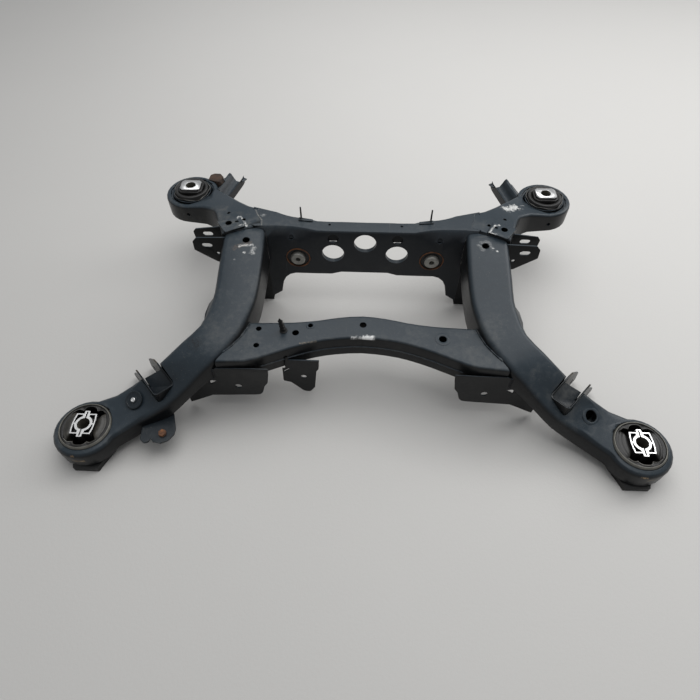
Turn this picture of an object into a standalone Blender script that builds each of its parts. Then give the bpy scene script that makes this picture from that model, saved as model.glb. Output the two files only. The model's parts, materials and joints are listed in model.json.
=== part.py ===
"""Rear axle subframe: two hollow side members, two rear arms, two crossmembers and their brackets."""
import bpy
import bmesh
import math
from mathutils import Vector

for item in list(bpy.data.objects):
    bpy.data.objects.remove(item, do_unlink=True)

# Frame: X to the right, Y from the front of the car to its rear, Z up, floor at zero
frontBushX = 0.550
rearBushX = 0.4375
rearBushY = 0.6035
yShift = 0.31777

sheet = 0.0030
gap = 0.0003

# Front eyes and bushes
frontEyeRadius = 0.0648
frontEyeShift = -0.0015
frontEyeTop = 0.0615
frontEyeBottom = 0.0135
frontBore = 0.0525
frontSleeveWall = 0.0045
frontCoreTop = 0.0735
frontCoreHole = 0.0125
stopPlateReach = 0.0680
stopPlateTop = 0.0132

# Rear eyes and bushes
rearEyeRadius = 0.0640
rearEyeTop = 0.1860
rearEyeBottom = 0.1395
rearBore = 0.0470
rearSleeveWall = 0.0025
rearRubberTop = 0.1960
rearCoreTop = 0.2040
rearCoreHole = 0.0120

# Rear crossmember
webFace = 0.4160
flangeTop = 0.2260
webHoleRadius = 0.0255
lipDepth = 0.0110
legInner = 0.2290
legWidth = 0.0690
diffBushX = 0.1555
diffBushZ = 0.1455
diffBushRadius = 0.0285
diffBushLength = 0.0440

# Front crossmember
crossSeam = 0.1270
crossOverlap = 0.0100
crossUpperDepth = 0.0310
crossLowerDepth = 0.0325
crossTop = crossSeam + crossUpperDepth
crossBottom = crossSeam - crossLowerDepth

# Link brackets across the front arms
saddleGap = 0.0380
saddleRim = 0.1125
saddleDepth = 0.0160
saddleSlope = 0.3500


def makeMaterial(name, color, roughness, metallic):
    mat = bpy.data.materials.new(name)
    mat.use_nodes = True
    node = mat.node_tree.nodes["Principled BSDF"]
    node.inputs["Base Color"].default_value = (*color, 1.0)
    node.inputs["Roughness"].default_value = roughness
    node.inputs["Metallic"].default_value = metallic
    mat.diffuse_color = (*color, 1.0)
    return mat


paint = makeMaterial("black_ecoat", (0.028, 0.032, 0.037), 0.42, 0.0)
rubber = makeMaterial("bush_rubber", (0.012, 0.012, 0.012), 0.75, 0.0)
aluminium = makeMaterial("machined_aluminium", (0.78, 0.79, 0.80), 0.35, 1.0)
sleeveMetal = makeMaterial("sleeve_metal", (0.22, 0.21, 0.19), 0.5, 1.0)
rustySteel = makeMaterial("rusty_steel", (0.20, 0.09, 0.04), 0.85, 0.3)
plastic = makeMaterial("clip_plastic", (0.015, 0.015, 0.016), 0.5, 0.0)


def newObject(name, verts, faces, mat, fixNormals=True):
    mesh = bpy.data.meshes.new(name)
    mesh.from_pydata([tuple(v) for v in verts], [], faces)
    mesh.update()
    obj = bpy.data.objects.new(name, mesh)
    bpy.context.scene.collection.objects.link(obj)
    obj.data.materials.append(mat)
    if fixNormals:
        bm = bmesh.new()
        bm.from_mesh(mesh)
        bmesh.ops.recalc_face_normals(bm, faces=bm.faces[:])
        bm.to_mesh(mesh)
        bm.free()
    return obj


def combine(obj, tool, operation):
    """Apply one Boolean and delete the tool."""
    mod = obj.modifiers.new("combine", "BOOLEAN")
    mod.operation = operation
    mod.solver = "EXACT"
    mod.object = tool
    graph = bpy.context.evaluated_depsgraph_get()
    graph.update()
    result = bpy.data.meshes.new_from_object(obj.evaluated_get(graph))
    obj.modifiers.clear()
    obj.data = result
    bpy.data.objects.remove(tool, do_unlink=True)
    return obj


def subtract(obj, *tools):
    for tool in tools:
        combine(obj, tool, "DIFFERENCE")
    return obj


def unite(obj, *tools):
    for tool in tools:
        combine(obj, tool, "UNION")
    return obj


def loft(name, rings, mat, ladder=False):
    """Closed body through rings of equal point counts; a ladder closes the last ring side to side."""
    count = len(rings[0])
    verts = [v for ring in rings for v in ring]
    faces = []
    for i in range(len(rings) - 1):
        for j in range(count):
            k = (j + 1) % count
            faces.append([i * count + j, i * count + k, (i + 1) * count + k, (i + 1) * count + j])
    faces.append(list(range(count)))
    last = (len(rings) - 1) * count
    if ladder:
        for j in range((count - 1) // 2):
            faces.append([last + j, last + j + 1, last + count - 2 - j, last + count - 1 - j])
        if count % 2:
            faces[-1] = [last + count // 2 - 1, last + count // 2, last + count // 2 + 1]
    else:
        faces.append([last + j for j in range(count)])
    return newObject(name, verts, faces, mat)


def arc(cx, cy, radius, start, end, steps):
    """Points of an arc, angles in degrees, both ends included."""
    points = []
    for i in range(steps + 1):
        a = math.radians(start + (end - start) * i / steps)
        points.append((cx + radius * math.cos(a), cy + radius * math.sin(a)))
    return points


def rounded(points, radius, steps=3):
    """Outline with every corner cut back to an arc of the given radius, or one radius per corner."""
    out = []
    n = len(points)
    for i in range(n):
        r = radius[i] if isinstance(radius, (list, tuple)) else radius
        p = Vector(points[i])
        a = (Vector(points[i - 1]) - p)
        b = (Vector(points[(i + 1) % n]) - p)
        if r <= 0:
            out.append(tuple(p))
            continue
        ua, ub = a.normalized(), b.normalized()
        half = ua.angle(ub) / 2
        reach = min(r / math.tan(half), a.length * 0.48, b.length * 0.48)
        start, end = p + ua * reach, p + ub * reach
        for k in range(steps + 1):
            t = k / steps
            out.append(tuple(start.lerp(p, t).lerp(p.lerp(end, t), t)))
    return out


def prism(name, outline, origin, u, v, depth, mat):
    """Outline in the plane of u and v at origin, pushed along u x v by depth."""
    origin, u, v = Vector(origin), Vector(u).normalized(), Vector(v).normalized()
    w = u.cross(v).normalized() * depth
    base = [origin + u * a + v * b for a, b in outline]
    return loft(name, [base, [p + w for p in base]], mat)


def upright(name, outline, y, depth, mat):
    """Plate across Y: outline in X and Z, from y towards larger y."""
    return prism(name, outline, (0, y + depth, 0), (1, 0, 0), (0, 0, 1), depth, mat)


def flat(name, outline, z, depth, mat):
    """Level plate: outline in X and Y, from z upwards."""
    return prism(name, outline, (0, 0, z), (1, 0, 0), (0, 1, 0), depth, mat)


def rod(name, start, end, radius, steps, mat, phase=0.0):
    """Round bar between two points."""
    start, end = Vector(start), Vector(end)
    axis = (end - start).normalized()
    side = axis.orthogonal().normalized()
    other = axis.cross(side)
    rings = []
    for point in (start, end):
        ring = []
        for i in range(steps):
            a = 2 * math.pi * (i + phase) / steps
            ring.append(point + side * radius * math.cos(a) + other * radius * math.sin(a))
        rings.append(ring)
    return loft(name, rings, mat)


def turned(name, profile, centre, steps, mat, axis="z"):
    """Closed ring: profile of radius and height turned about an upright or a lengthwise axis."""
    verts, faces = [], []
    count = len(profile)
    for i in range(steps):
        a = 2 * math.pi * i / steps
        for radius, height in profile:
            if axis == "z":
                verts.append((centre[0] + radius * math.cos(a), centre[1] + radius * math.sin(a), height))
            else:
                verts.append((centre[0] + radius * math.cos(a), height, centre[2] + radius * math.sin(a)))
    for i in range(steps):
        for j in range(count):
            k = (j + 1) % count
            m = (i + 1) % steps
            faces.append([i * count + j, i * count + k, m * count + k, m * count + j])
    return newObject(name, verts, faces, mat)


def smoothRow(rows, steps, first, last):
    """Catmull-Rom through rows of numbers between two indices; outside them rows are kept."""
    out = []
    for i in range(len(rows) - 1):
        out.append(rows[i])
        if first <= i < last:
            a = rows[max(i - 1, 0)]
            b, c = rows[i], rows[i + 1]
            d = rows[min(i + 2, len(rows) - 1)]
            for k in range(1, steps):
                t = k / steps
                out.append([0.5 * (2 * q + (r - p) * t + (2 * p - 5 * q + 4 * r - s) * t * t
                                   + (3 * q - p - 3 * r + s) * t ** 3)
                            for p, q, r, s in zip(a, b, c, d)])
    out.append(rows[-1])
    return out


def eyeRows(centre, direction, radius, top, bottom, start, steps):
    """Stations that close an arm with a round eye: one pair of side points for each angle."""
    rows = []
    dx, dy = direction
    for i in range(steps + 1):
        a = math.radians(start + (87 - start) * i / steps)
        s, c = math.sin(a) * radius, math.cos(a) * radius
        rows.append([centre[0] + dx * s - dy * c, centre[1] + dy * s + dx * c,
                     centre[0] + dx * s + dy * c, centre[1] + dy * s - dx * c, top, bottom, *centre])
    return rows


def bodyRings(rows, sign, inset, topRadius, lowRadius, steps=3, crown=0.0, lift=0.0, drop=0.0, lowSteps=1):
    """Rings of a pressed hollow body. A row is left x, y, right x, y, top z, bottom z, and an eye's centre."""
    lefts = [Vector((r[0] * sign, r[1])) for r in rows]
    rights = [Vector((r[2] * sign, r[3])) for r in rows]

    def outward(points, others, i):
        if len(rows[i]) > 6:
            return (points[i] - Vector((rows[i][6] * sign, rows[i][7]))).normalized()
        a = points[max(i - 1, 0)]
        b = points[min(i + 1, len(points) - 1)]
        tangent = (b - a).normalized()
        normal = Vector((tangent.y, -tangent.x))
        if normal.dot(points[i] - others[i]) < 0:
            normal = -normal
        return normal

    rings = []
    for i, row in enumerate(rows):
        top, low = row[4] - inset + lift, row[5] + inset - drop
        nl, nr = outward(lefts, rights, i), outward(rights, lefts, i)
        if i == 0:
            nr = (rights[0] - lefts[0]).normalized()
            nl = -nr
        left, right = lefts[i] - nl * inset, rights[i] - nr * inset
        half = max((left - right).length / 2 - 0.0004, 0.0004)
        if len(row) > 6:
            half = topRadius * 0.75
        rt, rl = min(topRadius, half), min(lowRadius, half)
        ring = []
        for k in range(lowSteps + 1):
            a = math.pi / 2 * (1 - k / lowSteps)
            ring.append((left - nl * (rl - rl * math.cos(a)), low + rl - rl * math.sin(a)))
        for k in range(steps + 1):
            a = math.pi / 2 * k / steps
            ring.append((left - nl * (rt - rt * math.cos(a)), top - rt + rt * math.sin(a)))
        if crown:
            middle = (left + right) / 2 - (nl + nr) / 2 * rt
            ring.append((middle, top + min(crown, (left - right).length * 0.05)))
        for k in range(steps + 1):
            a = math.pi / 2 * (1 - k / steps)
            ring.append((right - nr * (rt - rt * math.cos(a)), top - rt + rt * math.sin(a)))
        for k in range(lowSteps + 1):
            a = math.pi / 2 * k / lowSteps
            ring.append((right - nr * (rl - rl * math.cos(a)), low + rl - rl * math.sin(a)))
        rings.append([(p.x, p.y, z) for p, z in ring])
    return rings


# Front arm and side member of the right side, from the rear joint to the front eye:
# outer x, y, inner x, y, top, bottom
memberRows = smoothRow([
    [0.3165, 0.4044, 0.2245, 0.43655, 0.2200, 0.1270],
    [0.3165, 0.370, 0.2215, 0.370, 0.2150, 0.1240],
    [0.3165, 0.310, 0.2215, 0.310, 0.2020, 0.1170],
    [0.3160, 0.260, 0.2240, 0.255, 0.1910, 0.1110],
    [0.3220, 0.225, 0.2330, 0.210, 0.1830, 0.1060],
    [0.3340, 0.185, 0.2500, 0.162, 0.1740, 0.1020],
    [0.3660, 0.150, 0.2850, 0.112, 0.1620, 0.1000],
    [0.3950, 0.1255, 0.3150, 0.087, 0.1450, 0.0920],
    [0.4310, 0.106, 0.3490, 0.062, 0.1180, 0.0720],
    [0.4718, 0.0895, 0.3890, 0.038, 0.0900, 0.0420],
    [0.5090, 0.0755, 0.4400, 0.0140, 0.0700, 0.0190],
], 2, 0, 10)
frontAxis = Vector((0.835, -0.550)).normalized()
memberEye = eyeRows((frontBushX, frontEyeShift), frontAxis, frontEyeRadius, frontEyeTop, frontEyeBottom, -38, 10)

# Rear arm of the right side, from the crossmember seam to the rear eye:
# far x, y, near x, y, top, bottom
armRows = smoothRow([
    [0.2500, 0.4945, 0.2360, 0.433, 0.2260, 0.1283],
    [0.2715, 0.5035, 0.3190, 0.404, 0.2250, 0.1283],
    [0.3003, 0.5300, 0.3450, 0.470, 0.2170, 0.1300],
    [0.3270, 0.5610, 0.3620, 0.508, 0.2060, 0.1400],
    [0.3530, 0.5910, 0.3950, 0.530, 0.1950, 0.1420],
], 2, 2, 4)
rearAxis = Vector((0.738, 0.674)).normalized()
armEye = eyeRows((rearBushX, rearBushY), rearAxis, rearEyeRadius, rearEyeTop, rearEyeBottom, -38, 10)

# Front crossmember, from the left end to the right end: near x, y, far x, y
crossHalf = [
    [0.000, 0.172, 0.000, 0.2325],
    [0.055, 0.167, 0.050, 0.2270],
    [0.097, 0.1575, 0.095, 0.2170],
    [0.145, 0.140, 0.144, 0.2100],
    [0.190, 0.120, 0.190, 0.2075],
    [0.232, 0.105, 0.232, 0.2055],
    [0.300, 0.100, 0.270, 0.2050],
]
crossRows = []
for i in range(len(crossHalf) - 1, 0, -1):
    near, nearY, far, farY = crossHalf[i]
    crossRows.append([-near, nearY, -far, farY, crossTop, crossBottom])
for near, nearY, far, farY in crossHalf:
    crossRows.append([near, nearY, far, farY, crossTop, crossBottom])
crossRows = smoothRow(crossRows, 2, 1, len(crossRows) - 2)


def endShift(rings, rows, sign, reach):
    """Move the first ring out along its own plane's normal, so that a cutter clears the end as well."""
    if reach <= 0:
        return rings
    across = Vector(((rows[0][2] - rows[0][0]) * sign, rows[0][3] - rows[0][1])).normalized()
    out = Vector((across.y, -across.x))
    along = Vector(((rows[0][0] - rows[1][0]) * sign, rows[0][1] - rows[1][1]))
    if out.dot(along) < 0:
        out = -out
    rings[0] = [(x + out.x * reach, y + out.y * reach, z) for x, y, z in rings[0]]
    return rings


def memberBody(name, sign, inset):
    rings = bodyRings(memberRows + memberEye, sign, inset, 0.0140 - inset, 0.0080 - inset, 3, 0.0015)
    return loft(name, endShift(rings, memberRows, sign, -inset), paint, True)


def armBody(name, sign, inset):
    rings = bodyRings(armRows + armEye, sign, inset, 0.0080 - inset, 0.0018, 3, 0.0008)
    return loft(name, endShift(rings, armRows, sign, -inset), paint, True)


def surround(sign):
    """Cutters that leave the fitting gap round the side member and the rear arm of one side."""
    return [memberBody("cut", sign, -gap), armBody("cut", sign, -gap)]


saddleAxis = Vector((0.680, 0.733)).normalized()
saddleAlong = Vector((saddleAxis.y, -saddleAxis.x))
saddleInner = Vector((0.3920, 0.0620))


def saddlePoint(sign, along, across, z):
    """Point of the link bracket frame: along the link, across it, height."""
    p = saddleInner + saddleAxis * along + saddleAlong * across
    return (p.x * sign, p.y, z)


def floorHeight(across):
    """Upper face of the link bracket's floor: it falls towards the eye like the arm around it."""
    return saddleRim - saddleDepth - saddleSlope * across


def saddleExit(across):
    """Distance from the closed end at which the bracket leaves the arm's outer wall."""
    return 0.0625 + 0.33 * across


def buildSideMember(side, sign):
    obj = memberBody(side + "_side_member", sign, 0.0)
    hollow = bodyRings(memberRows[:-1], sign, sheet, 0.0110, 0.0050, 2)
    subtract(obj, loft("cut", endShift(hollow, memberRows, sign, 0.004), paint))
    subtract(obj, rod("cut", (frontBushX * sign, 0, 0), (frontBushX * sign, 0, 0.1), frontBore, 40, paint))
    for x, y, radius, low in ((0.2630, 0.3900, 0.0080, 0.1900), (0.4625, 0.0545, 0.0125, 0.0540)):
        subtract(obj, rod("cut", (x * sign, y, low), (x * sign, y, low + 0.06), radius, 22, paint, 0.37))
    half = saddleGap / 2 + sheet + gap
    corners = [(-sheet - gap, half), (0.12, half), (0.12, -half), (-sheet - gap, -half)]
    outline = rounded(corners, [0.008, 0, 0, 0.008], 3)
    base = [Vector(saddlePoint(sign, a, b, floorHeight(b) - sheet - gap)) for a, b in outline]
    subtract(obj, loft("cut", [base, [p + Vector((0, 0, 0.2)) for p in base]], paint))
    subtract(obj, saddleSlit(sign))
    return obj


def saddleSlit(sign):
    """Narrow opening beside the near wall of the link bracket, down through the arm's outer wall."""
    half = saddleGap / 2
    outline = [(0.0400, half - 0.0002), (0.12, half - 0.0002), (0.12, half - 0.0036), (0.0400, half - 0.0036)]
    base = [Vector(saddlePoint(sign, a, b, 0.0550)) for a, b in outline]
    return loft("cut", [base, [p + Vector((0, 0, 0.0750)) for p in base]], paint)


def buildSaddle(side, sign):
    """Folded link bracket: sunk floor, closed inner end and side walls that run out and down as ears."""
    def wall(across):
        low, out, fall = floorHeight(across) - sheet, saddleExit(across), 0.42 * across
        return [(0.1540, across, 0.0090, 0.0130), (0.1430, across, 0.0080, 0.0405 - fall),
                (0.1160, across, 0.0120, 0.0667 - fall), (0.0880, across, 0.0200, 0.0937 - fall),
                (out + 0.0100, across, 0.0400, saddleRim), (out + 0.0030, across, low, saddleRim),
                (0.0300, across, low, saddleRim), (0.0080, across, low, saddleRim)]

    def walk(half, end, corner):
        points = wall(half)
        for a, b in arc(end + corner, half - corner, corner, 90, 180, 3) + arc(end + corner, corner - half, corner,
                                                                               180, 270, 3):
            points.append((a, b, floorHeight(b) - sheet, saddleRim))
        return points + wall(-half)[::-1]

    rings = []
    for inner, outer in zip(walk(saddleGap / 2, 0.0, 0.0045), walk(saddleGap / 2 + sheet, -sheet, 0.0075)):
        rings.append([saddlePoint(sign, inner[0], inner[1], inner[2]), saddlePoint(sign, outer[0], outer[1], outer[2]),
                      saddlePoint(sign, outer[0], outer[1], outer[3]), saddlePoint(sign, inner[0], inner[1], inner[3])])
    obj = loft(side + "_link_bracket", rings, paint)
    half = saddleGap / 2 + sheet / 2
    floor = [(-sheet / 2, half - 0.006), (0.0045, half), (saddleExit(half) - 0.001, half),
             (saddleExit(-half) - 0.001, -half), (0.0045, -half), (-sheet / 2, -half + 0.006)]
    base = [Vector(saddlePoint(sign, a, b, floorHeight(b) - sheet + 0.0004)) for a, b in floor]
    plate = loft("add", [base, [p + Vector((0, 0, sheet - 0.0004)) for p in base]], paint)
    unite(obj, subtract(plate, saddleSlit(sign)))
    # Bolt holes through both ears
    subtract(obj, rod("cut", saddlePoint(sign, 0.122, -0.05, 0.036), saddlePoint(sign, 0.122, 0.05, 0.036), 0.0065,
                      16, paint))
    return obj


def cavityRows():
    """Stations of the rear arm's hollow: from just inside the seam wall to short of the eye."""
    rows = [list(r) for r in armRows[:-1]]
    rows[0] = [p + (q - p) * 0.12 for p, q in zip(rows[0], rows[1])]
    return rows


def buildRearArm(side, sign):
    """Deep-drawn arm, open below, with a solid eye seat."""
    obj = armBody(side + "_rear_arm", sign, 0.0)
    subtract(obj, loft("cut", bodyRings(cavityRows(), sign, sheet, 0.0060, 0.0010, 2, 0.0, 0.0, 0.02), paint))
    x, y = rearBushX * sign, rearBushY
    subtract(obj, rod("cut", (x, y, 0.1), (x, y, 0.25), rearBore, 36, paint))
    subtract(obj, rod("cut", (x, y, rearEyeTop - 0.004), (x, y, 0.25), 0.0530, 36, paint))
    for hx, hy, radius in ((0.3075, 0.4330, 0.0085), (0.3170, 0.4790, 0.0042), (0.2760, 0.4500, 0.0040)):
        subtract(obj, rod("cut", (hx * sign, hy, 0.18), (hx * sign, hy, 0.24), radius, 16, paint))
    return obj


def buildRearArmPlate(side, sign):
    """Lower closing plate inside the walls of the rear arm."""
    rows = cavityRows()
    rows[0] = [p + (q - p) * 0.01 for p, q in zip(rows[0], rows[1])]
    rows[-1] = [q + (p - q) * 0.06 for p, q in zip(rows[-2], rows[-1])]
    inset = sheet + gap
    for r in rows:
        r[4] = r[5] + sheet
    rings = bodyRings(rows, sign, inset, 0.0005, 0.0005, 1, 0.0, inset, inset)
    obj = loft(side + "_rear_arm_closing_plate", rings, paint)
    subtract(obj, rod("cut", (0.300 * sign, 0.490, 0.1), (0.300 * sign, 0.490, 0.16), 0.011, 20, paint))
    return obj


def buildTabPlate(side, sign):
    """Doubler on the joint, over the end of the side member."""
    outline = rounded([(0.3345, 0.437), (0.3120, 0.403), (0.2690, 0.4235), (0.2880, 0.4590)], 0.003, 2)
    outline = [(x * sign, y) for x, y in outline]
    obj = flat(side + "_joint_plate", outline, 0.2245, 0.0045, paint)
    subtract(obj, *surround(sign))
    subtract(obj, rod("cut", (0.3075 * sign, 0.4330, 0.2), (0.3075 * sign, 0.4330, 0.24), 0.0075, 20, paint))
    box = [(0.2850, 0.4370), (0.2915, 0.4340), (0.2945, 0.4400), (0.2880, 0.4430)]
    subtract(obj, flat("cut", [(x * sign, y) for x, y in box], 0.2, 0.05, paint))
    return obj


def buildRearCrossmember():
    """Pressed web with a rearward top flange, flanged holes and the inner edges of both legs."""
    half = [
        (0.000, 0.1035, 0.4160, 0.4490), (0.055, 0.1035, 0.4160, 0.4495), (0.078, 0.0965, 0.4160, 0.4490),
        (0.110, 0.0960, 0.4165, 0.4502), (0.130, 0.0960, 0.4225, 0.4580), (0.150, 0.0960, 0.4270, 0.4605),
        (0.165, 0.0960, 0.4290, 0.4630), (0.179, 0.0915, 0.4300, 0.4672), (0.190, 0.0815, 0.4305, 0.4715),
        (0.1975, 0.0660, 0.4305, 0.4750), (0.2025, 0.0420, 0.4305, 0.4778), (0.2045, 0.0320, 0.4305, 0.4788),
        (0.2250, 0.0170, 0.4300, 0.4850), (0.2284, 0.0040, 0.4295, 0.4862), (0.2600, 0.0040, 0.4290, 0.4960),
    ]
    rows = [(-x, a, b, c) for x, a, b, c in reversed(half[1:])] + half
    rings = []
    for x, low, near, far in rows:
        back = webFace + sheet
        lean = near - webFace
        rings.append([
            (x, webFace, low), (x, webFace, 0.2020), (x, webFace + lean * 0.85, 0.2200),
            (x, near + 0.0015, 0.2250), (x, near + 0.0045, flangeTop), (x, far, flangeTop),
            (x, far, flangeTop - sheet), (x, near + 0.0060, flangeTop - sheet),
            (x, back + lean * 0.85, 0.2190), (x, back, 0.2010), (x, back, low),
        ])
    obj = loft("rear_crossmember", rings, paint)
    bigHoles = [(0.0, 0.1925), (-0.0735, 0.1610), (0.0735, 0.1610)]
    for x, z in bigHoles:
        unite(obj, rod("add", (x, webFace + 0.001, z), (x, webFace + lipDepth, z), webHoleRadius + sheet, 28, paint))
    for x, z in bigHoles:
        subtract(obj, rod("cut", (x, 0.40, z), (x, 0.44, z), webHoleRadius, 28, paint))
    for s in (-1, 1):
        x = diffBushX * s
        unite(obj, rod("add", (x, webFace + 0.001, diffBushZ), (x, webFace + 0.018, diffBushZ),
                       diffBushRadius + sheet, 24, paint))
        subtract(obj, rod("cut", (x, 0.40, diffBushZ), (x, 0.45, diffBushZ), diffBushRadius, 24, paint))
        subtract(obj, rod("cut", (0.0725 * s, 0.40, 0.2055), (0.0725 * s, 0.44, 0.2055), 0.0125, 20, paint))
        subtract(obj, rod("cut", (0.1675 * s, 0.40, 0.2040), (0.1675 * s, 0.45, 0.2040), 0.0060, 14, paint))
        subtract(obj, rod("cut", (0.0810 * s, 0.4390, 0.21), (0.0810 * s, 0.4390, 0.23), 0.0030, 12, paint))
        corner = [(legInner - gap, 0.40), (0.30, 0.40), (0.30, 0.48), (legInner - gap, 0.48)]
        subtract(obj, flat("cut", [(x * s, y) for x, y in corner], -0.01, 0.1410, paint))
        subtract(obj, *surround(s))
    return obj


def buildLeg(side, sign):
    """Folded leg under the joint: front and rear plates with an outer wall, open to the inside."""
    x0, x1 = legInner, legInner + legWidth
    y0, y1 = webFace, 0.4690
    outline = [(x0, y0), (x1, y0), (x1, y1), (x0, y1), (x0, y1 - sheet), (x1 - sheet, y1 - sheet),
               (x1 - sheet, y0 + sheet), (x0, y0 + sheet)]
    obj = flat(side + "_leg", [(x * sign, y) for x, y in outline], 0.0, 0.1240, paint)
    subtract(obj, rod("cut", ((x0 + 0.0330) * sign, y0 - 0.01, 0.045), ((x0 + 0.0330) * sign, y1 + 0.01, 0.045), 0.0075,
                      16, paint))
    subtract(obj, *surround(sign))
    return obj


def buildWebDoublers(side, sign):
    """Small plates close behind the web that cover its upper holes from the back."""
    back = webFace + sheet + gap
    inner = [(0.0545, 0.1965), (0.0905, 0.1965), (0.0905, 0.2180), (0.0545, 0.2180)]
    upright(side + "_inner_web_doubler", [(x * sign, z) for x, z in inner], back, 0.0020, paint)
    # The outer plate leans like the web in front of it
    profile = [(back + 0.0003, 0.1960), (back + 0.0003, 0.2010), (back + 0.0093, 0.2140)]
    profile += [(y + 0.0020, z) for y, z in reversed(profile)]
    loft(side + "_outer_web_doubler", [[(x * sign, y, z) for y, z in profile] for x in (0.1590, 0.1760)], paint)


def buildFin(side, sign):
    """Upright locating fin on a base tab behind the crossmember flange."""
    x = 0.146 * sign
    seat = flangeTop + gap
    outline = [(0.4520, seat + 0.001), (0.4600, seat + 0.001), (0.4585, 0.2420), (0.4562, 0.2600), (0.4544, 0.2600),
               (0.4528, 0.2420)]
    obj = loft(side + "_flange_fin", [[(x + k, y, z) for y, z in outline] for k in (-0.0015, 0.0015)], paint)
    base = [(0.1200, 0.4465), (0.1520, 0.4495), (0.1520, 0.4595), (0.1200, 0.4530)]
    unite(obj, flat("add", [(a * sign, b) for a, b in base], seat, 0.0022, paint))
    return obj


def buildClevis(side, sign):
    """Two upright plates across Y on the outside of the joint, with level slots for a link bolt."""
    parts = []
    near = rounded([(0.300, 0.2160), (0.3780, 0.2130), (0.3880, 0.2020), (0.3890, 0.1780), (0.3430, 0.1440),
                    (0.300, 0.1300)], [0, 0.003, 0.003, 0.004, 0.004, 0], 2)
    far = rounded([(0.300, 0.2120), (0.3920, 0.2000), (0.3985, 0.1920), (0.3970, 0.1740), (0.3600, 0.1520),
                   (0.300, 0.1400)], [0, 0.003, 0.003, 0.004, 0.004, 0], 2)
    for word, outline, y, slotX, slotZ in (("near", near, 0.3985, 0.3570, 0.1920),
                                           ("far", far, 0.4440, 0.3655, 0.1865)):
        obj = upright("_".join((side, word, "clevis_plate")), [(x * sign, z) for x, z in outline], y, sheet, paint)
        slot = arc(slotX + 0.006, slotZ, 0.0060, -90, 90, 6) + arc(slotX - 0.006, slotZ, 0.0060, 90, 270, 6)
        subtract(obj, upright("cut", [(x * sign, z) for x, z in slot], y - 0.01, 0.03, paint))
        if word == "near":
            subtract(obj, rod("cut", (0.3360 * sign, 0.38, 0.1690), (0.3360 * sign, 0.42, 0.1690), 0.0040, 12, paint))
        subtract(obj, *surround(sign))
        parts.append(obj)
    return parts


def buildFrontCrossmember():
    """Upper shell over a lower tray, both open towards the side members."""
    def channel(name, rows, inset, topRadius, lowRadius, lift, drop):
        outer = loft(name, bodyRings(rows, 1, inset, topRadius, lowRadius, 2), paint)
        inner = [list(r) for r in rows]
        rings = bodyRings(inner, 1, inset + 0.0025, 0.0040, 0.0025, 2, 0.0, lift, drop)
        rings = [[(x * 1.02, y, z) for x, y, z in rings[0]]] + rings + [[(x * 1.02, y, z) for x, y, z in rings[-1]]]
        return subtract(outer, loft("cut", rings, paint))

    upper = [list(r) for r in crossRows]
    for r in upper:
        r[5] = crossSeam
    lower = [list(r) for r in crossRows]
    for r in lower:
        r[4] = crossSeam + crossOverlap + 0.0028
    top = channel("front_crossmember_upper", upper, 0.0, 0.0060, 0.0010, 0.0, 0.03)
    tray = channel("front_crossmember_lower", lower, 0.0028, 0.0010, 0.0040, 0.03, 0.0)
    for s in (-1, 1):
        beyond = [(0.2160, 0.240), (0.3062, 0.069), (0.40, 0.069), (0.40, 0.240)]
        for body in (top, tray):
            subtract(body, flat("cut", [(x * s, y) for x, y in beyond], 0.05, 0.15, paint),
                     memberBody("cut", s, -gap))
    holes = [(-0.2140, 0.1880, 0.0048), (-0.2130, 0.1450, 0.0048), (-0.1370, 0.1800, 0.0055),
             (-0.1080, 0.2000, 0.0050), (0.0010, 0.2060, 0.0055), (0.1640, 0.1745, 0.0060)]
    for x, y, radius in holes:
        subtract(top, rod("cut", (x, y, crossTop - 0.01), (x, y, crossTop + 0.01), radius, 16, paint))
    subtract(tray, rod("cut", (0.0, 0.200, 0.08), (0.0, 0.200, 0.11), 0.010, 16, paint))
    return top, tray


def buildLowerBracket(side, sign):
    """Plate under the end of the front crossmember that runs on below the side member."""
    y = 0.0985
    outline = [(0.1870, 0.1380), (0.1870, 0.1240), (0.1920, 0.0910), (0.2000, 0.0780), (0.2060, 0.0560),
               (0.2120, 0.0480), (0.2220, 0.0450), (0.3160, 0.0385), (0.3620, 0.0120), (0.3700, 0.0080),
               (0.3740, 0.0700), (0.3400, 0.1100), (0.2900, 0.1380)]
    obj = upright(side + "_lower_bracket", [(x * sign, z) for x, z in outline], y, sheet, paint)
    subtract(obj, rod("cut", (0.2550 * sign, 0.08, 0.0760), (0.2550 * sign, 0.12, 0.0760), 0.0070, 18, paint))
    hole = [(0.2955, 0.0930), (0.3130, 0.0960), (0.3125, 0.0795)]
    subtract(obj, upright("cut", [(x * sign, z) for x, z in hole], y - 0.01, 0.03, paint))
    subtract(obj, loft("cut", bodyRings(crossRows, 1, -gap, 0.0060, 0.0040, 2), paint),
             memberBody("cut", sign, -gap))
    return obj


def buildDiffBracket():
    """Front differential bracket under the left half of the front crossmember."""
    y = 0.1335
    outline = [(-0.1655, 0.0870), (-0.1670, 0.0500), (-0.1510, 0.0450), (-0.1250, 0.0120), (-0.1110, 0.0100),
               (-0.1000, 0.0280), (-0.0940, 0.0880), (-0.0890, 0.0970), (-0.0870, 0.1250), (-0.1500, 0.1250),
               (-0.1520, 0.1350), (-0.1655, 0.1350)]
    outline = rounded(outline, [0, 0.004, 0.006, 0.008, 0.006, 0.006, 0.002, 0.002, 0, 0, 0, 0], 2)
    obj = upright("front_diff_bracket", outline, y, sheet, paint)
    subtract(obj, rod("cut", (-0.122, 0.10, 0.067), (-0.122, 0.16, 0.067), 0.0062, 18, paint))
    slot = [(-0.1630, 0.0820), (-0.1510, 0.0910), (-0.1510, 0.0960), (-0.1630, 0.0870)]
    subtract(obj, upright("cut", slot, y - 0.03, 0.06, paint))
    subtract(obj, loft("cut", bodyRings(crossRows, 1, -gap, 0.0060, 0.0040, 2), paint))
    return obj


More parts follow.
